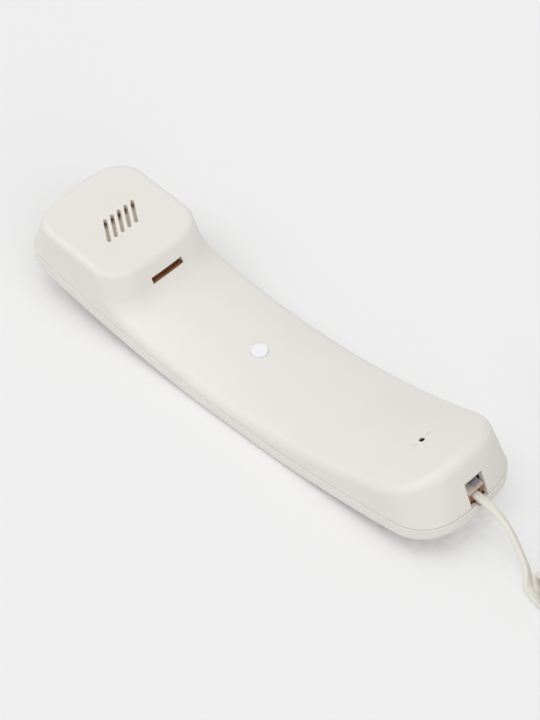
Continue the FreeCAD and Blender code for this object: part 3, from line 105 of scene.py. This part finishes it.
class Recipe:
    """A material's nodes while they are put together, on the object's own coordinates."""

    # places of the colour mix node's two colours and of its result
    ONE, OTHER, MIXED = 6, 7, 2

    def __init__(self, name: str) -> None:
        """Start a material with a shader and its output.

        Args:
            name: The material's name.
        """
        self.material = bpy.data.materials.new(name)
        self.material.use_nodes = True
        self.nodes = self.material.node_tree.nodes
        self.links = self.material.node_tree.links
        self.nodes.clear()
        self.shader = self.add("ShaderNodeBsdfPrincipled")
        self.output = self.add("ShaderNodeOutputMaterial")
        self.links.new(self.shader.outputs["BSDF"], self.output.inputs["Surface"])
        self.place = self.add("ShaderNodeTexCoord").outputs["Object"]

    def add(self, kind: str, sockets: dict[str | int, object] | None = None,
            **settings: object) -> bpy.types.Node:
        """Add a node.

        Args:
            kind: The node's type.
            sockets: Values, or other nodes' outputs, for its inputs.
            **settings: The node's own properties.

        Returns:
            The new node.
        """
        made = self.nodes.new(kind)
        for key, value in settings.items():
            setattr(made, key, value)
        for key, value in (sockets or {}).items():
            if isinstance(value, Socket):
                self.links.new(value, made.inputs[key])
            else:
                made.inputs[key].default_value = value
        return made

    def combine(self, one: Socket, other: Socket | float, operation: str = "ADD") -> Socket:
        """Return two values put together by one operation."""
        return self.add("ShaderNodeMath", {0: one, 1: other}, operation=operation).outputs[0]

    def noise(self, size: float, detail: float = 2.0,
              stretch: Point = (1.0, 1.0, 1.0)) -> Socket:
        """Return a cloudy pattern.

        Args:
            size: The width of its patches, in metres.
            detail: How many finer layers it has.
            stretch: How many times closer it is packed along each axis.

        Returns:
            The pattern, from 0 to 1.
        """
        packed = self.add("ShaderNodeMapping", {"Vector": self.place, "Scale": stretch})
        made = self.add("ShaderNodeTexNoise", {
            "Vector": packed.outputs["Vector"], "Scale": 1 / size, "Detail": detail})
        return made.outputs["Fac"]

    def between(self, share: Socket, low: float, high: float,
                start: float = 0.3, end: float = 0.7) -> Socket:
        """Return a pattern stretched from one value to another.

        Args:
            share: The pattern.
            low: The value where the pattern is at its start.
            high: The value where it is at its end.
            start: The pattern's level that gives the low value.
            end: Its level that gives the high value.

        Returns:
            The stretched pattern, held within its two values.
        """
        made = self.add("ShaderNodeMapRange", {
            "Value": share, "From Min": start, "From Max": end, "To Min": low, "To Max": high})
        return made.outputs["Result"]

    def blend(self, share: Socket, one: Colour | Socket, other: Colour) -> Socket:
        """Mix two colours.

        Args:
            share: The pattern that chooses between them.
            one: The colour where it is 0.
            other: The colour where it is 1.

        Returns:
            The mixed colour.
        """
        first = one if isinstance(one, Socket) else (*one, 1)
        made = self.add("ShaderNodeMix", {
            "Factor": share, self.ONE: first, self.OTHER: (*other, 1)}, data_type="RGBA")
        return made.outputs[self.MIXED]

    def bump(self, height: Socket, depth: float, before: Socket | None = None) -> Socket:
        """Return a surface direction that follows a height.

        Args:
            height: The pattern, from 0 to 1.
            depth: How deep it is, in metres.
            before: A coarser direction under it.

        Returns:
            The direction.
        """
        sockets = {"Height": height, "Distance": depth, "Strength": 1.0}
        if before is not None:
            sockets["Normal"] = before
        return self.add("ShaderNodeBump", sockets).outputs["Normal"]

    def toward(self, start: Point, end: Point, patch: float = 3 * MM,
               ragged: float = 0.2) -> Socket:
        """Return how far a place is from one point toward another, a little ragged.

        Args:
            start: Where it is 0, on the object's own coordinates.
            end: Where it is 1.
            patch: The width of the ragged edge's patches, in metres.
            ragged: How far the edge strays, as a share of the way.

        Returns:
            The share, from 0 to 1.
        """
        way = Vector(end) - Vector(start)
        offset = self.add("ShaderNodeVectorMath", {0: self.place, 1: start},
                          operation="SUBTRACT")
        along = self.add("ShaderNodeVectorMath", {
            0: offset.outputs[0], 1: tuple(way / way.length_squared)}, operation="DOT_PRODUCT")
        stray = self.between(self.noise(patch), -ragged, ragged)
        return self.between(self.combine(along.outputs["Value"], stray), 0, 1, 0.0, 1.0)

    def set(self, **sockets: object) -> None:
        """Set or link the shader's inputs; an underscore stands for a space."""
        for key, value in sockets.items():
            socket = self.shader.inputs[key.replace("_", " ").title().replace("Ior", "IOR")]
            if isinstance(value, Socket):
                self.links.new(value, socket)
            else:
                socket.default_value = value


@dataclass(frozen=True)
class Moulding:
    """Satin moulded plastic: a faint cloud in its colour and a fine even grain."""

    name: str
    pale: Colour
    deep: Colour
    roughness: float = 0.42
    smoother: float = 0.04
    rougher: float = 0.05
    cloud: float = 30 * MM
    grain: float = 0.5 * MM
    depth: float = 0.004 * MM
    scuffs: float = 0.0
    scuff_width: float = 1.2 * MM
    scuff_stretch: Point = (0.08, 1.0, 1.0)
    scuff_start: float = 0.62
    scuff_end: float = 0.72

    def make(self) -> bpy.types.Material:
        """Build the material.

        Returns:
            The finished material.
        """
        recipe = Recipe(self.name)
        cloud = recipe.noise(self.cloud, 3.0)
        fine = recipe.noise(self.grain)
        colour = recipe.blend(recipe.between(cloud, 0, 1), self.pale, self.deep)
        gloss = recipe.between(cloud, self.roughness - self.smoother,
                               self.roughness + self.rougher)
        normal = recipe.bump(fine, self.depth)
        if self.scuffs:
            rub = recipe.noise(self.scuff_width, 4.0, self.scuff_stretch)
            rubbed = recipe.between(rub, 0, self.scuffs, self.scuff_start, self.scuff_end)
            gloss = recipe.combine(gloss, rubbed)
            normal = recipe.bump(rub, self.depth * 2, normal)
        recipe.set(base_color=colour, roughness=gloss, normal=normal, ior=PLASTIC_IOR)
        return recipe.material


@dataclass(frozen=True)
class ClearMoulding:
    """Clear moulded plastic, faintly blue, with soft flow lines."""

    name: str
    colour: Colour
    roughness: float = 0.08
    rougher: float = 0.07
    haze: float = 0.0
    flow_width: float = 2 * MM
    flow_stretch: Point = (0.3, 1.0, 1.0)
    flow_tone: float = 0.94
    flow_depth: float = 0.02 * MM

    def make(self) -> bpy.types.Material:
        """Build the material.

        Returns:
            The finished material.
        """
        recipe = Recipe(self.name)
        flow = recipe.noise(self.flow_width, 2.0, self.flow_stretch)
        recipe.set(
            base_color=recipe.blend(recipe.between(flow, 0, 1), self.colour,
                                    darker(self.colour, self.flow_tone)),
            roughness=recipe.between(flow, self.roughness, self.roughness + self.rougher),
            normal=recipe.bump(flow, self.flow_depth), ior=PLASTIC_IOR,
            transmission_weight=1.0 - self.haze)
        return recipe.material


@dataclass(frozen=True)
class Metal:
    """Metal with drawn or plated streaks."""

    name: str
    colour: Colour
    roughness: float = 0.3
    streak: Point = (1.0, 1.0, 1.0)
    smoother: float = 0.08
    rougher: float = 0.12
    streak_width: float = 0.6 * MM
    streak_tone: float = 0.8
    streak_depth: float = 0.004 * MM

    def make(self) -> bpy.types.Material:
        """Build the material.

        Returns:
            The finished material.
        """
        recipe = Recipe(self.name)
        streaks = recipe.noise(self.streak_width, 3.0, self.streak)
        recipe.set(
            base_color=recipe.blend(recipe.between(streaks, 0, 1), self.colour,
                                    darker(self.colour, self.streak_tone)),
            roughness=recipe.between(streaks, self.roughness - self.smoother,
                                     self.roughness + self.rougher),
            normal=recipe.bump(streaks, self.streak_depth), metallic=1.0)
        return recipe.material


@dataclass(frozen=True)
class Cloth:
    """Woven acoustic cloth or pressed felt, stained toward one edge if it has a stain."""

    name: str
    colour: Colour
    thread: float = 0.3 * MM
    thread_depth: float = 0.03 * MM
    thread_wander: float = 0.4
    hollow_shade_tone: float = 0.8
    # painted shade: the level of the weave's hollows, as a share of the cloth's colour
    bands_in_unit: float = 6.283
    roughness: float = 0.9
    stain: Colour | None = None
    clean: Point = (0.0, 0.0, 0.0)
    stained: Point = (0.0, 0.0, 0.0)

    def make(self) -> bpy.types.Material:
        """Build the material.

        Returns:
            The finished material.
        """
        recipe = Recipe(self.name)
        threads = [recipe.add("ShaderNodeTexWave", {
            "Vector": recipe.place, "Scale": 1 / self.thread / self.bands_in_unit,
            "Distortion": self.thread_wander}, bands_direction=way).outputs["Fac"]
            for way in "XY"]
        weave = recipe.combine(*threads, "MULTIPLY")
        # painted shade: the weave's hollows are darker where its bump sinks
        colour = recipe.blend(weave, darker(self.colour, self.hollow_shade_tone), self.colour)
        if self.stain:
            share = recipe.toward(self.clean, self.stained)
            colour = recipe.blend(share, colour, self.stain)
        recipe.set(base_color=colour, roughness=self.roughness,
                   normal=recipe.bump(weave, self.thread_depth))
        return recipe.material


@dataclass(frozen=True)
class TwoTone:
    """Plain pressed or moulded surface that turns from one colour to another along a line."""

    name: str
    near: Colour
    deep: Colour
    start: Point
    end: Point
    smooth: float = 0.5
    rough: float = 0.7
    fibre_width: float = 1.5 * MM
    fibre_stretch: Point = (1.0, 0.3, 1.0)
    fibre_depth: float = 0.01 * MM

    def make(self) -> bpy.types.Material:
        """Build the material.

        Returns:
            The finished material.
        """
        recipe = Recipe(self.name)
        fibre = recipe.noise(self.fibre_width, 4.0, self.fibre_stretch)
        colour = recipe.blend(recipe.toward(self.start, self.end), self.near, self.deep)
        recipe.set(base_color=colour, roughness=recipe.between(fibre, self.smooth, self.rough),
                   normal=recipe.bump(fibre, self.fibre_depth))
        return recipe.material


@dataclass(frozen=True)
class Board:
    """Pressed board with a fibrous colour and copper tracks under its lacquer."""

    name: str
    colour: Colour
    track: Colour
    roughness: float = 0.35
    rougher: float = 0.15
    fibre_width: float = 1.2 * MM
    fibre_stretch: Point = (0.4, 1.0, 1.0)
    fibre_tone: float = 0.72
    track_scale: float = 160.0
    track_width: float = 0.012
    track_depth: float = 0.03 * MM

    def make(self) -> bpy.types.Material:
        """Build the material.

        Returns:
            The finished material.
        """
        recipe = Recipe(self.name)
        fibre = recipe.noise(self.fibre_width, 4.0, self.fibre_stretch)
        tracks = recipe.add("ShaderNodeTexBrick", {
            "Vector": recipe.place, "Scale": self.track_scale, "Mortar Size": self.track_width,
            "Color1": (0, 0, 0, 1), "Color2": (0, 0, 0, 1), "Mortar": (1, 1, 1, 1)})
        raised = tracks.outputs["Color"]
        ground = recipe.blend(recipe.between(fibre, 0, 1), self.colour,
                              darker(self.colour, self.fibre_tone))
        recipe.set(
            base_color=recipe.blend(raised, ground, self.track),
            roughness=recipe.between(fibre, self.roughness, self.roughness + self.rougher),
            normal=recipe.bump(raised, self.track_depth))
        return recipe.material


class Finishes(Enum):
    """The handset's finishes: one for each of the record's slots, and a few for one piece."""

    SHELL = Moulding("shell_plastic", screen(232, 228, 223), screen(229, 225, 219), scuffs=0.08)
    KEY = Moulding("key_plastic", screen(243, 243, 247), screen(239, 239, 244), roughness=0.34)
    GREEN_BOARD = Board("green_board", (0.03, 0.13, 0.06), (0.06, 0.2, 0.09))
    BLACK = Moulding("black_plastic", (0.018, 0.018, 0.02), (0.012, 0.012, 0.014), roughness=0.5)
    CLEAR = ClearMoulding("clear_plastic", screen(226, 232, 240))
    JACKET = Moulding("cord_jacket", screen(231, 228, 219), screen(228, 224, 214),
                      roughness=0.48, cloud=12 * MM, grain=0.8 * MM, depth=0.008 * MM)
    WIRE = Moulding("wire_jacket", (0.42, 0.02, 0.015), (0.36, 0.015, 0.012), roughness=0.4)
    GOLD = Metal("gold_contact", (0.83, 0.6, 0.26), 0.22)
    STEEL = Metal("steel", (0.56, 0.56, 0.55), 0.34, (0.1, 1.0, 1.0))
    MAGNET = Metal("magnet_steel", (0.2, 0.2, 0.21), 0.45)
    CAN = Metal("capsule_can", (0.74, 0.74, 0.75), 0.26)
    COPPER = Metal("copper_wire", (0.65, 0.28, 0.13), 0.3, (1.0, 1.0, 6.0))
    RUBBER = Moulding("rubber_black", (0.006, 0.006, 0.006), (0.004, 0.004, 0.004),
                      roughness=0.8)
    FELT = Cloth("dark_felt", (0.03, 0.03, 0.03))
    FILM = Moulding("cone_film", (0.5, 0.44, 0.33), (0.45, 0.39, 0.28), roughness=0.25)
    # pale cloth behind the slots, browned toward the ear end
    CLOTH = Cloth("receiver_cloth", (0.72, 0.66, 0.52), stain=(0.16, 0.07, 0.02),
                  clean=(-0.0755, 0.0, 0.029), stained=(-0.0774, 0.0, 0.029))
    # brown board in the wall-hook slot, painted lighter where it lies deeper: painted light
    # against the shade there
    HOOK_BOARD = TwoTone("hook_board_brown", (0.15, 0.05, 0.013), (0.5, 0.18, 0.05),
                         (-0.0493, 0.0, 0.0218), (-0.0512, 0.0, 0.0210))
    JACK_BOARD = Moulding("jack_board_brown", (0.5, 0.19, 0.11), (0.4, 0.14, 0.07),
                          roughness=0.4, cloud=5 * MM)
    HOUSING = Moulding("jack_housing_grey", (0.3, 0.28, 0.27), (0.26, 0.24, 0.23), roughness=0.5)
    # the plugged-in plug: the pale cord shows through its top, the brown board lower down
    PLUG = TwoTone("plug_over_board", screen(222, 214, 202), (0.36, 0.14, 0.08),
                   (0.1, 0.0, 0.0205), (0.1, 0.0, 0.0192))
    LATCH = ClearMoulding("plug_latch_clear", screen(196, 192, 202), roughness=0.1, haze=0.35)

    def material(self) -> bpy.types.Material:
        """Return this finish's material, made at its first use.

        Returns:
            The material, named after the finish.
        """
        found = bpy.data.materials.get(self.value.name)
        if found and "made" in found:
            return found
        material = self.value.make()
        material["made"] = True
        material.name = self.value.name
        return material


def wear(obj: bpy.types.Object, finish: Finishes) -> None:
    """Give a piece one finish all over.

    Args:
        obj: The piece.
        finish: Its finish.
    """
    material = finish.material()
    if not obj.data.materials:
        obj.data.materials.append(material)
    for index in range(len(obj.data.materials)):
        obj.data.materials[index] = material


@dataclass(frozen=True)
class Lamp:
    """A far soft lamp; its level is the share of full white that it gives to the floor."""

    name: str
    toward: Point
    level: float
    softness: float

    def hang(self) -> None:
        """Put the lamp in the scene."""
        way = Vector(self.toward).normalized()
        data = bpy.data.lights.new(self.name, "SUN")
        data.energy = self.level * math.pi / way.z
        data.angle = math.radians(self.softness)
        lamp = bpy.data.objects.new(self.name, data)
        lamp.rotation_euler = way.to_track_quat("Z", "Y").to_euler()
        bpy.context.collection.objects.link(lamp)
        log.info("%s", self.name)


@dataclass
class Studio:
    """Pale floor, even sky, soft lamps and the picture's camera."""

    pale: float = linear(239)
    # painted light: how much the floor's far right glows its own tone to the camera, over the
    # shadow
    painted_light_share: float = 0.6
    painted_light_from: Point = (0.0, 0.012, 0.0)
    painted_light_at: Point = (0.02, 0.055, 0.0)
    sky: float = 0.57
    lamps: tuple[Lamp, ...] = (
        Lamp("key_lamp", (-0.45, -0.38, 1.0), 0.25, 60.0),
        Lamp("top_lamp", (0.1, -0.1, 1.0), 0.11, 60.0),
        Lamp("side_lamp", (1.0, -0.3, 0.5), 0.07, 50.0),
    )
    azimuth: float = 43.912
    height: float = 48.112
    roll: float = -0.576
    distance: float = 0.886515
    target: Point = (0.001969, 0.001387, 0.010)
    focal_pixels: float = 2419.07
    nearest: float = 10 * MM
    floor_half: float = 6.0
    floor_cells: int = 8

    def build(self) -> None:
        """Put up the camera, the floor, the sky and the lamps."""
        self.camera()
        self.floor()
        self.heaven()
        for lamp in self.lamps:
            lamp.hang()
        bpy.context.scene.view_settings.view_transform = "Standard"

    def tone(self) -> tuple[float, float, float, float]:
        """Return the pale tone of the floor and of what lies behind it."""
        return self.pale, self.pale, self.pale, 1

    def camera(self) -> None:
        """Put the camera where the photograph was taken from."""
        turn, rise = math.radians(self.azimuth), math.radians(self.height)
        back = Vector((math.sin(turn) * math.cos(rise), -math.cos(turn) * math.cos(rise),
                       math.sin(rise)))
        level = Vector((math.cos(turn), math.sin(turn), 0))
        up = back.cross(level)
        tilt = math.radians(self.roll)
        right = math.cos(tilt) * level + math.sin(tilt) * up
        top = math.cos(tilt) * up - math.sin(tilt) * level
        data = bpy.data.cameras.new("photo_camera")
        data.sensor_fit = "HORIZONTAL"
        data.sensor_width = SENSOR_WIDTH
        data.lens = self.focal_pixels / PICTURE_WIDTH * SENSOR_WIDTH
        data.clip_start = self.nearest
        eye = bpy.data.objects.new("photo_camera", data)
        place = Vector(self.target) + back * self.distance
        axes = Matrix((right, top, back)).transposed().to_4x4()
        eye.matrix_world = Matrix.Translation(place) @ axes
        bpy.context.collection.objects.link(eye)
        bpy.context.scene.camera = eye
        log.info("photo_camera")

    def floor(self) -> None:
        """Lay the pale floor; its far right glows its own tone to the camera, painted light that
        lessens the shade.
        """
        deselect_all()
        bpy.ops.mesh.primitive_grid_add(x_subdivisions=self.floor_cells,
                                        y_subdivisions=self.floor_cells,
                                        size=2 * self.floor_half)
        floor = bpy.context.object
        floor.name = "floor"
        recipe = Recipe("floor_paper")
        recipe.set(base_color=self.tone(), roughness=1.0, specular_ior_level=0.0)
        # painted light: toward its far right the floor glows its own tone to the camera,
        # lessening the shade
        painted_light_ramp = recipe.toward(self.painted_light_from, self.painted_light_at)
        seen = recipe.add("ShaderNodeLightPath").outputs["Is Camera Ray"]
        share = recipe.combine(recipe.combine(painted_light_ramp, seen, "MULTIPLY"), self.painted_light_share, "MULTIPLY")
        glow = recipe.add("ShaderNodeEmission", {"Color": self.tone(), "Strength": 1.0})
        mix = recipe.add("ShaderNodeMixShader", {
            0: share, 1: recipe.shader.outputs[0], 2: glow.outputs[0]})
        recipe.links.new(mix.outputs[0], recipe.output.inputs["Surface"])
        floor.data.materials.append(recipe.material)
        log.info("floor")

    def heaven(self) -> None:
        """Light from all round, with the floor's own pale tone behind everything."""
        world = bpy.data.worlds.new("studio_sky")
        bpy.context.scene.world = world
        world.use_nodes = True
        nodes, links = world.node_tree.nodes, world.node_tree.links
        nodes.clear()
        path = nodes.new("ShaderNodeLightPath")
        seen = path.outputs["Is Camera Ray"]
        for name in ("Is Glossy Ray", "Is Transmission Ray"):
            either = nodes.new("ShaderNodeMath")
            either.operation = "MAXIMUM"
            links.new(seen, either.inputs[0])
            links.new(path.outputs[name], either.inputs[1])
            seen = either.outputs[0]
        lit, shown = nodes.new("ShaderNodeBackground"), nodes.new("ShaderNodeBackground")
        lit.inputs["Strength"].default_value = self.sky
        lit.inputs["Color"].default_value = (1, 1, 1, 1)
        shown.inputs["Color"].default_value = self.tone()
        mix, output = nodes.new("ShaderNodeMixShader"), nodes.new("ShaderNodeOutputWorld")
        links.new(seen, mix.inputs["Fac"])
        links.new(lit.outputs[0], mix.inputs[1])
        links.new(shown.outputs[0], mix.inputs[2])
        links.new(mix.outputs[0], output.inputs["Surface"])


@dataclass
class CurlyCord:
    """Flat four-wire cord: a free end, its curls on the floor, and the far free end.

    The twist is the turn, in degrees, of the flat back at each point of the near end. The curls
    wind round a line on the floor of straight runs and bends, which starts at axis_start.
    """

    width: float = 3.4 * MM
    thickness: float = 2.0 * MM
    corner: float = 0.7 * MM
    length: float = 1.21
    near_end: tuple[Point, ...] = (
        (0.0955, 0.0, 0.0177), (0.1064, -0.0001, 0.0172), (0.1127, 0.0, 0.0148),
        (0.1170, -0.0002, 0.0115), (0.1214, -0.0011, 0.0078), (0.1258, -0.0027, 0.0048),
        (0.1289, -0.0042, 0.0032), (0.1318, -0.0070, 0.0017), (0.1336, -0.0091, 0.0012),
        (0.1365, -0.0099, 0.0012))
    twist: tuple[float, ...] = (0.0, -14.0, -34.0, -44.0, -48.0, -54.0, -56.0, -34.0, -8.0, 0.0)
    far_end: tuple[Point, ...] = (
        (0.08918, 0.07113, 0.01235), (0.08861, 0.06627, 0.0123), (0.0886, 0.0618, 0.0106),
        (0.0894, 0.0572, 0.0074), (0.0916, 0.0530, 0.0043), (0.0958, 0.0499, 0.0022),
        (0.1028, 0.0476, 0.0014), (0.1122, 0.0452, 0.0020), (0.1195, 0.0395, 0.00385),
        (0.1242, 0.0326, 0.00385))
    axis_start: tuple[float, float] = (0.141, -0.0124)
    first_shift: Point = (-0.0017, 0.0018, 0.0)
    settled: float = 4.0
    axis_heading: float = 70.0
    axis_bend: float = 24 * MM
    axis_runs: tuple[float, ...] = (5 * MM, 49.5 * MM, 1.0)
    axis_turns: tuple[float, ...] = (20.0, 90.0, 0.0)
    curls: float = 30.5
    pitch: float = 4.0 * MM
    bend_pitch: float = 5.0 * MM
    curl_radius: float = 5.7 * MM
    clearance: float = 0.2 * MM
    steps: int = 16
    fine: int = 4
    around: int = 4
    routes: list[tuple[Vector, Vector]] = field(default_factory=list)

    def axis(self, turns: float) -> tuple[Vector, Vector]:
        """Follow the line that the curls wind round.

        Args:
            turns: How many curls from the first.

        Returns:
            The point on the floor and the direction to its right.
        """
        x, y = self.axis_start
        heading = math.radians(self.axis_heading)
        left = turns
        for run, turn in zip(self.axis_runs, self.axis_turns):
            part = min(run / self.pitch, left) * self.pitch
            x += part * math.cos(heading)
            y += part * math.sin(heading)
            left -= part / self.pitch
            angle = min(math.radians(turn), left * self.bend_pitch / self.axis_bend)
            x += self.axis_bend * (math.sin(heading + angle) - math.sin(heading))
            y += self.axis_bend * (math.cos(heading) - math.cos(heading + angle))
            heading += angle
            left -= angle * self.axis_bend / self.bend_pitch
        return Vector((x, y, 0)), Vector((math.sin(heading), -math.cos(heading), 0))

    def curl(self, turns: float) -> tuple[Vector, Vector]:
        """Place one control point of the curls.

        Args:
            turns: How many curls from the first.

        Returns:
            The point and the direction to the middle of its curl.
        """
        base, side = self.axis(turns)
        base += Vector(self.first_shift) * max(0.0, 1 - turns / self.settled)
        angle = math.tau * turns
        outward = side * math.sin(angle) - Vector((0, 0, math.cos(angle)))
        # the smooth line runs inside its control points by this share of their radius
        inside = 0.75 + 0.25 * math.cos(math.tau / self.steps)
        height = self.curl_radius + self.thickness / 2 + self.clearance
        return base + Vector((0, 0, height)) + outward * (self.curl_radius / inside), -outward

    def route(self) -> None:
        """Gather the cord's points, each with the direction that its flat back faces."""
        count = int(self.curls * self.steps)
        spots = [Vector(place) for place in self.near_end]
        for i, (place, angle) in enumerate(zip(spots, self.twist)):
            along = spots[min(i + 1, len(spots) - 1)] - spots[max(i - 1, 0)]
            turn = Matrix.Rotation(math.radians(angle), 3, along)
            self.routes.append((place, turn @ UP))
        self.routes += [self.curl(i / self.steps) for i in range(count + 1)]
        self.routes += [(Vector(place), -UP) for place in self.far_end]

    def line(self) -> list[Vector]:
        """Lay the smooth line through the points.

        Returns:
            The points read from the line.
        """
        data = bpy.data.curves.new("cord_line", "CURVE")
        data.dimensions = "3D"
        data.resolution_u = self.fine
        spline = data.splines.new("NURBS")
        spline.points.add(len(self.routes) - 1)
        for spot, (place, _) in zip(spline.points, self.routes):
            spot.co = (*place, 1)
        spline.order_u = 3
        spline.use_endpoint_u = True
        obj = bpy.data.objects.new("cord_line", data)
        bpy.context.collection.objects.link(obj)
        bpy.context.view_layer.update()
        mesh = bpy.data.meshes.new_from_object(obj)
        points = [v.co.copy() for v in mesh.vertices]
        bpy.data.objects.remove(obj)
        bpy.data.meshes.remove(mesh)
        return points

    def facing(self, share: float) -> Vector:
        """Return the direction of the flat back at a share of the route's points."""
        low = min(int(share), len(self.routes) - 2)
        return self.routes[low][1].lerp(self.routes[low + 1][1], share - low)

    def section(self, mesh: bmesh.types.BMesh, place: Vector, back: Vector,
                side: Vector) -> list[bmesh.types.BMVert]:
        """Add one ring of the flat cord.

        Args:
            mesh: The mesh that it joins.
            place: Its middle.
            back: The direction that its flat back faces.
            side: The direction across its width.

        Returns:
            The ring's corners, in order.
        """
        ring = []
        wide, tall = self.width / 2 - self.corner, self.thickness / 2 - self.corner
        for quarter, (a, b) in enumerate(((1, 1), (-1, 1), (-1, -1), (1, -1))):
            for i in range(self.around):
                angle = math.pi / 2 * (quarter + i / (self.around - 1))
                across = a * wide + self.corner * math.cos(angle)
                over = b * tall + self.corner * math.sin(angle)
                ring.append(mesh.verts.new(place + side * across + back * over))
        return ring

    def tube(self, points: list[Vector]) -> bpy.types.Object:
        """Sweep the flat section along the line and close both ends.

        Args:
            points: The line's points.

        Returns:
            The cord.
        """
        spans = len(self.routes) - 2
        last = len(points) - 1
        mesh = bmesh.new()
        rings = []
        for i, place in enumerate(points):
            along = (points[min(i + 1, last)] - points[max(i - 1, 0)]).normalized()
            back = self.facing(0.5 + i / last * spans)
            back = (back - along * back.dot(along)).normalized()
            rings.append(self.section(mesh, place, back, along.cross(back)))
        for one, other in zip(rings, rings[1:]):
            for a in range(len(one)):
                b = (a + 1) % len(one)
                mesh.faces.new((one[a], one[b], other[b], other[a]))
        mesh.faces.new(rings[0][::-1])
        mesh.faces.new(rings[-1])
        data = bpy.data.meshes.new("cord")
        mesh.to_mesh(data)
        mesh.free()
        data.polygons.foreach_set("use_smooth", [True] * len(data.polygons))
        cord = bpy.data.objects.new("cord", data)
        bpy.context.collection.objects.link(cord)
        log.info("cord: %d rings", len(rings))
        return cord

    def build(self) -> None:
        self.route()
        points = self.line()
        cord = self.tube(points)
        wear(cord, Finishes.JACKET)
        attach(cord, "root")
        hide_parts("cord_near_end", "cord_curls", "cord_far_end")


@dataclass
class Handset:
    """The carried-over pieces, each with its own finish or the one that its slot names."""

    own: dict[str, Finishes] = field(default_factory=lambda: {
        "dust_cloth": Finishes.CLOTH, "hook_board": Finishes.HOOK_BOARD,
        "terminal_board": Finishes.HOOK_BOARD, "jack_board": Finishes.JACK_BOARD,
        "jack_housing": Finishes.HOUSING, "near_plug_body": Finishes.PLUG,
        "near_plug_latch": Finishes.LATCH})

    def dress(self) -> None:
        """Give every carried-over piece its finish."""
        by_slot = {finish.value.name: finish for finish in Finishes}
        for part in frame["record"]["subparts"]:
            node = part["node"]
            finish = self.own.get(node) or by_slot[part["material_slot"]]
            wear(frame["nodes"][node], finish)
            log.info("%s: %s", node, finish.value.name)


def main() -> None:
    """Build the studio, the cord and the handset's finishes, in this order."""
    logging.basicConfig(level=logging.INFO, format="%(name)s: %(message)s")
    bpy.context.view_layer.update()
    clear_stage()
    Studio().build()
    CurlyCord().build()
    Handset().dress()


if __name__ == "__main__":
    main()
